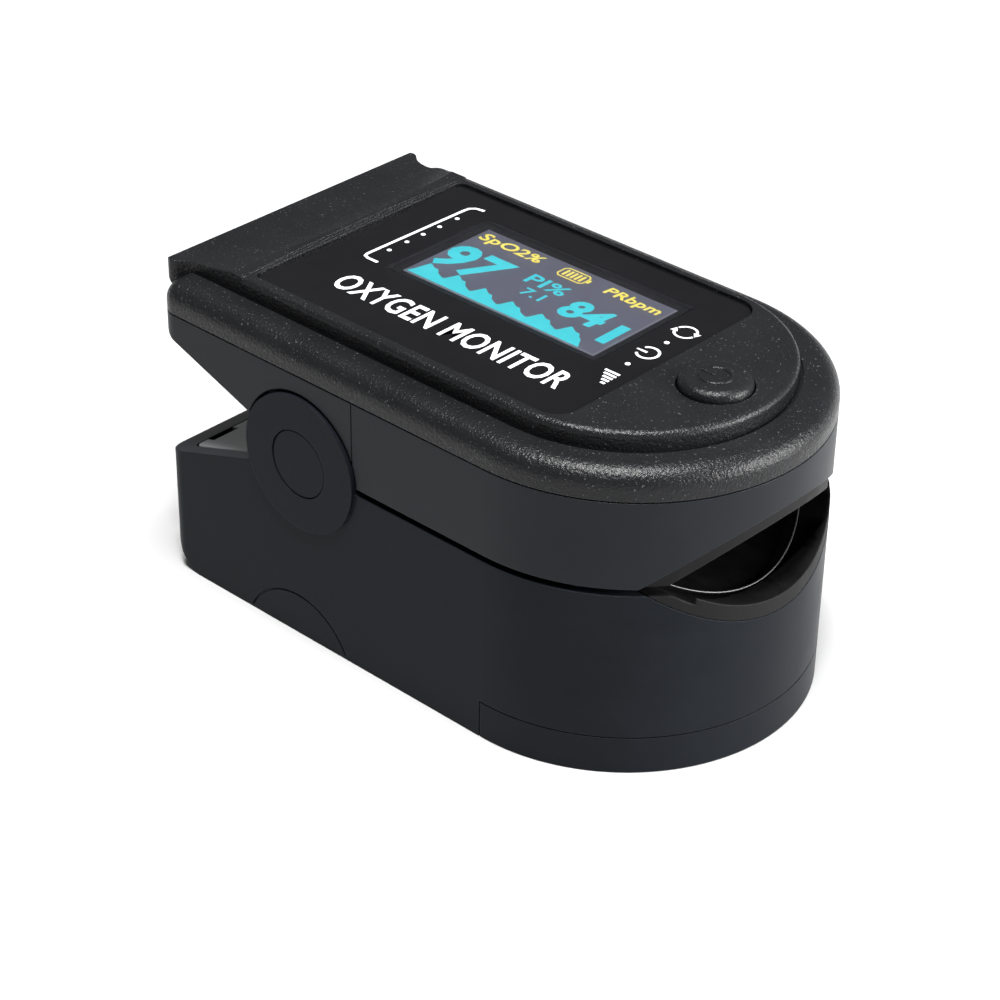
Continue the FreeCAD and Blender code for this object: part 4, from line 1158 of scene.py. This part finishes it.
@dataclass
class FingerPads:
    """The moulded soft skins that the finger rests in."""

    palette: Palette
    merge: float = 0.002 * MM
    flat_within: float = 1.0
    round_edge: float = 0.22 * MM
    sharp_over: float = 40.0
    nose_r: float = 17.35
    scoop_r: float = 17.65
    lip_r: float = 16.25
    bead_r: float = 14.75
    bead_turn: float = 46.0
    bead_steps: int = 48
    bead_thick: float = 0.22

    def build(self) -> None:
        """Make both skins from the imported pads, with soft edges."""
        for node, body in (("upper_finger_pad", Body.UPPER), ("lower_finger_pad", Body.LOWER)):
            shape = bmesh.new()
            shape.from_mesh(frame["nodes"][node].data)
            bmesh.ops.remove_doubles(shape, verts=shape.verts, dist=self.merge)
            bmesh.ops.recalc_face_normals(shape, faces=shape.faces)
            bmesh.ops.dissolve_limit(shape, angle_limit=math.radians(self.flat_within),
                                     verts=shape.verts, edges=shape.edges)
            skin = make_piece(f"{body.value}_pad_skin", shape, body, self.palette["pad_rubber"],
                              smooth_below=35.0)
            soften = skin.modifiers.new("soft_edge", "BEVEL")
            soften.width = self.round_edge
            soften.segments = 3
            soften.limit_method = "ANGLE"
            soften.angle_limit = math.radians(self.sharp_over)
            soften.use_clamp_overlap = True
            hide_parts(node)
        self.lip_highlight_bead()

    def lip_highlight_bead(self) -> None:
        """Add a thin round bead just behind the lower pad's lip, a little clear of the pad. Its ridge catches
        real light, and its lighter, glossier rubber adds painted highlight to the thin bright line along the
        lip's inner edge.
        """
        low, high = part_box("lower_finger_pad")
        nose, bottom = high.x / MM, low.z / MM
        centre = nose - self.nose_r
        axis = bottom + self.scoop_r
        path = []
        for i in range(self.bead_steps + 1):
            turn = math.radians(self.bead_turn * (2.0 * i / self.bead_steps - 1.0))
            x, y = centre + self.bead_r * math.cos(turn), self.bead_r * math.sin(turn)
            path.append((x, y, axis - math.sqrt(self.lip_r ** 2 - y ** 2)))
        curve = bpy.data.curves.new("bead", "CURVE")
        curve.dimensions = "3D"
        curve.bevel_depth = self.bead_thick / 2 * MM
        curve.bevel_resolution = 3
        curve.use_fill_caps = True
        spline = curve.splines.new("POLY")
        spline.points.add(len(path) - 1)
        for spot, (x, y, z) in zip(spline.points, path):
            spot.co = (x * MM, y * MM, z * MM, 1.0)
        make_piece("lower_lip_highlight_bead", mesh_of_curve(curve), Body.LOWER, self.palette["bead_highlight_rubber"],
                   smooth_below=60.0)


# Studio.


@dataclass
class Studio:
    """Plain pale floor, soft lights and the camera."""

    eye: tuple[float, float, float] = (133.16, -150.39, 137.26)
    azimuth: float = 42.23
    elevation: float = 32.18
    roll: float = 0.99
    lens: float = 97.2
    sensor: float = 36.0
    floor_half: float = 4.0
    floor_drop: float = 0.02 * MM
    ambient: float = 0.13
    aim_height: float = 0.015

    def camera(self) -> None:
        """Set the camera up, with its eye counted from the label like the drawn marks."""
        a, e, r = (math.radians(v) for v in (self.azimuth, self.elevation, self.roll))
        back = Vector((math.sin(a) * math.cos(e), -math.cos(a) * math.cos(e), math.sin(e)))
        right = Vector((math.cos(a), math.sin(a), 0.0))
        up = back.cross(right)
        across = math.cos(r) * right + math.sin(r) * up
        upward = -math.sin(r) * right + math.cos(r) * up
        data = bpy.data.cameras.new("studio_camera")
        data.lens = self.lens
        data.sensor_width = self.sensor
        data.sensor_fit = "HORIZONTAL"
        data.clip_start = 0.005
        data.clip_end = 20.0
        data.dof.use_dof = False
        camera = bpy.data.objects.new("studio_camera", data)
        turn = Matrix((across, upward, back)).transposed().to_4x4()
        eye = Vector(self.eye) * MM + Vector((label_middle(), 0.0, 0.0))
        camera.matrix_world = Matrix.Translation(eye) @ turn
        bpy.context.scene.collection.objects.link(camera)
        bpy.context.scene.camera = camera

    def floor(self) -> None:
        """Lay the floor."""
        shape = bmesh.new()
        bmesh.ops.create_grid(shape, x_segments=8, y_segments=8, size=self.floor_half)
        bmesh.ops.translate(shape, vec=(0.0, 0.0, -self.floor_drop), verts=shape.verts)
        data = bpy.data.meshes.new("studio_floor")
        shape.to_mesh(data)
        shape.free()
        material, tree, shader = new_material("studio_floor")
        mottle = tree.noise(tree.place(), 40.0, 3.0, 0.5)
        tone = tree.mix(mottle, opaque((0.46, 0.46, 0.46)), opaque((0.48, 0.48, 0.48)))
        tree.feed(shader.inputs["Base Color"], tone)
        shader.inputs["Roughness"].default_value = 0.9
        data.materials.append(material)
        floor = bpy.data.objects.new("studio_floor", data)
        bpy.context.scene.collection.objects.link(floor)

    def lamp(self, name: str, at: tuple[float, float, float], size: tuple[float, float], power: float,
             colour: Colour = (1.0, 1.0, 1.0)) -> None:
        """Hang a soft box that aims at the object.

        Args:
            name: The lamp's name.
            at: Its place in metres.
            size: Its two sides in metres.
            power: Its power in watts.
            colour: Its colour.
        """
        data = bpy.data.lights.new(name, "AREA")
        data.shape = "RECTANGLE"
        data.size, data.size_y = size
        data.energy = power
        data.color = colour
        lamp = bpy.data.objects.new(name, data)
        spot = Vector(at)
        aim = (Vector((0.0, 0.0, self.aim_height)) - spot).to_track_quat("-Z", "Y").to_matrix().to_4x4()
        lamp.matrix_world = Matrix.Translation(spot) @ aim
        bpy.context.scene.collection.objects.link(lamp)

    def light(self) -> None:
        """Light the scene."""
        world = bpy.data.worlds.new("studio")
        world.use_nodes = True
        ground = world.node_tree.nodes["Background"]
        ground.inputs["Color"].default_value = (0.97, 0.98, 1.0, 1.0)
        ground.inputs["Strength"].default_value = self.ambient
        bpy.context.scene.world = world
        self.lamp("key_above", (0.03, -0.07, 0.58), (0.20, 0.20), 6.2)
        self.lamp("sparkle", (0.10, -0.12, 0.52), (0.05, 0.05), 1.4)
        self.lamp("side_right", (0.50, 0.24, 0.20), (0.30, 0.30), 7.0)
        view = bpy.context.scene.view_settings
        view.view_transform = "Standard"
        view.look = "None"

    def build(self) -> None:
        """Set up camera, floor and lights."""
        self.camera()
        self.floor()
        self.light()


def main() -> None:
    """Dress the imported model, add the drawn and soft pieces, and set the studio up."""
    logging.basicConfig(level=logging.INFO, format="%(message)s")
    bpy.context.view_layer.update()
    palette = Palette(Effects())
    dress_nodes(palette)
    LabelPrint(palette).build()
    DisplayGraphics(palette).build()
    ButtonMark(palette).build()
    FingerPads(palette).build()
    Studio().build()


if __name__ == "__main__":
    main()
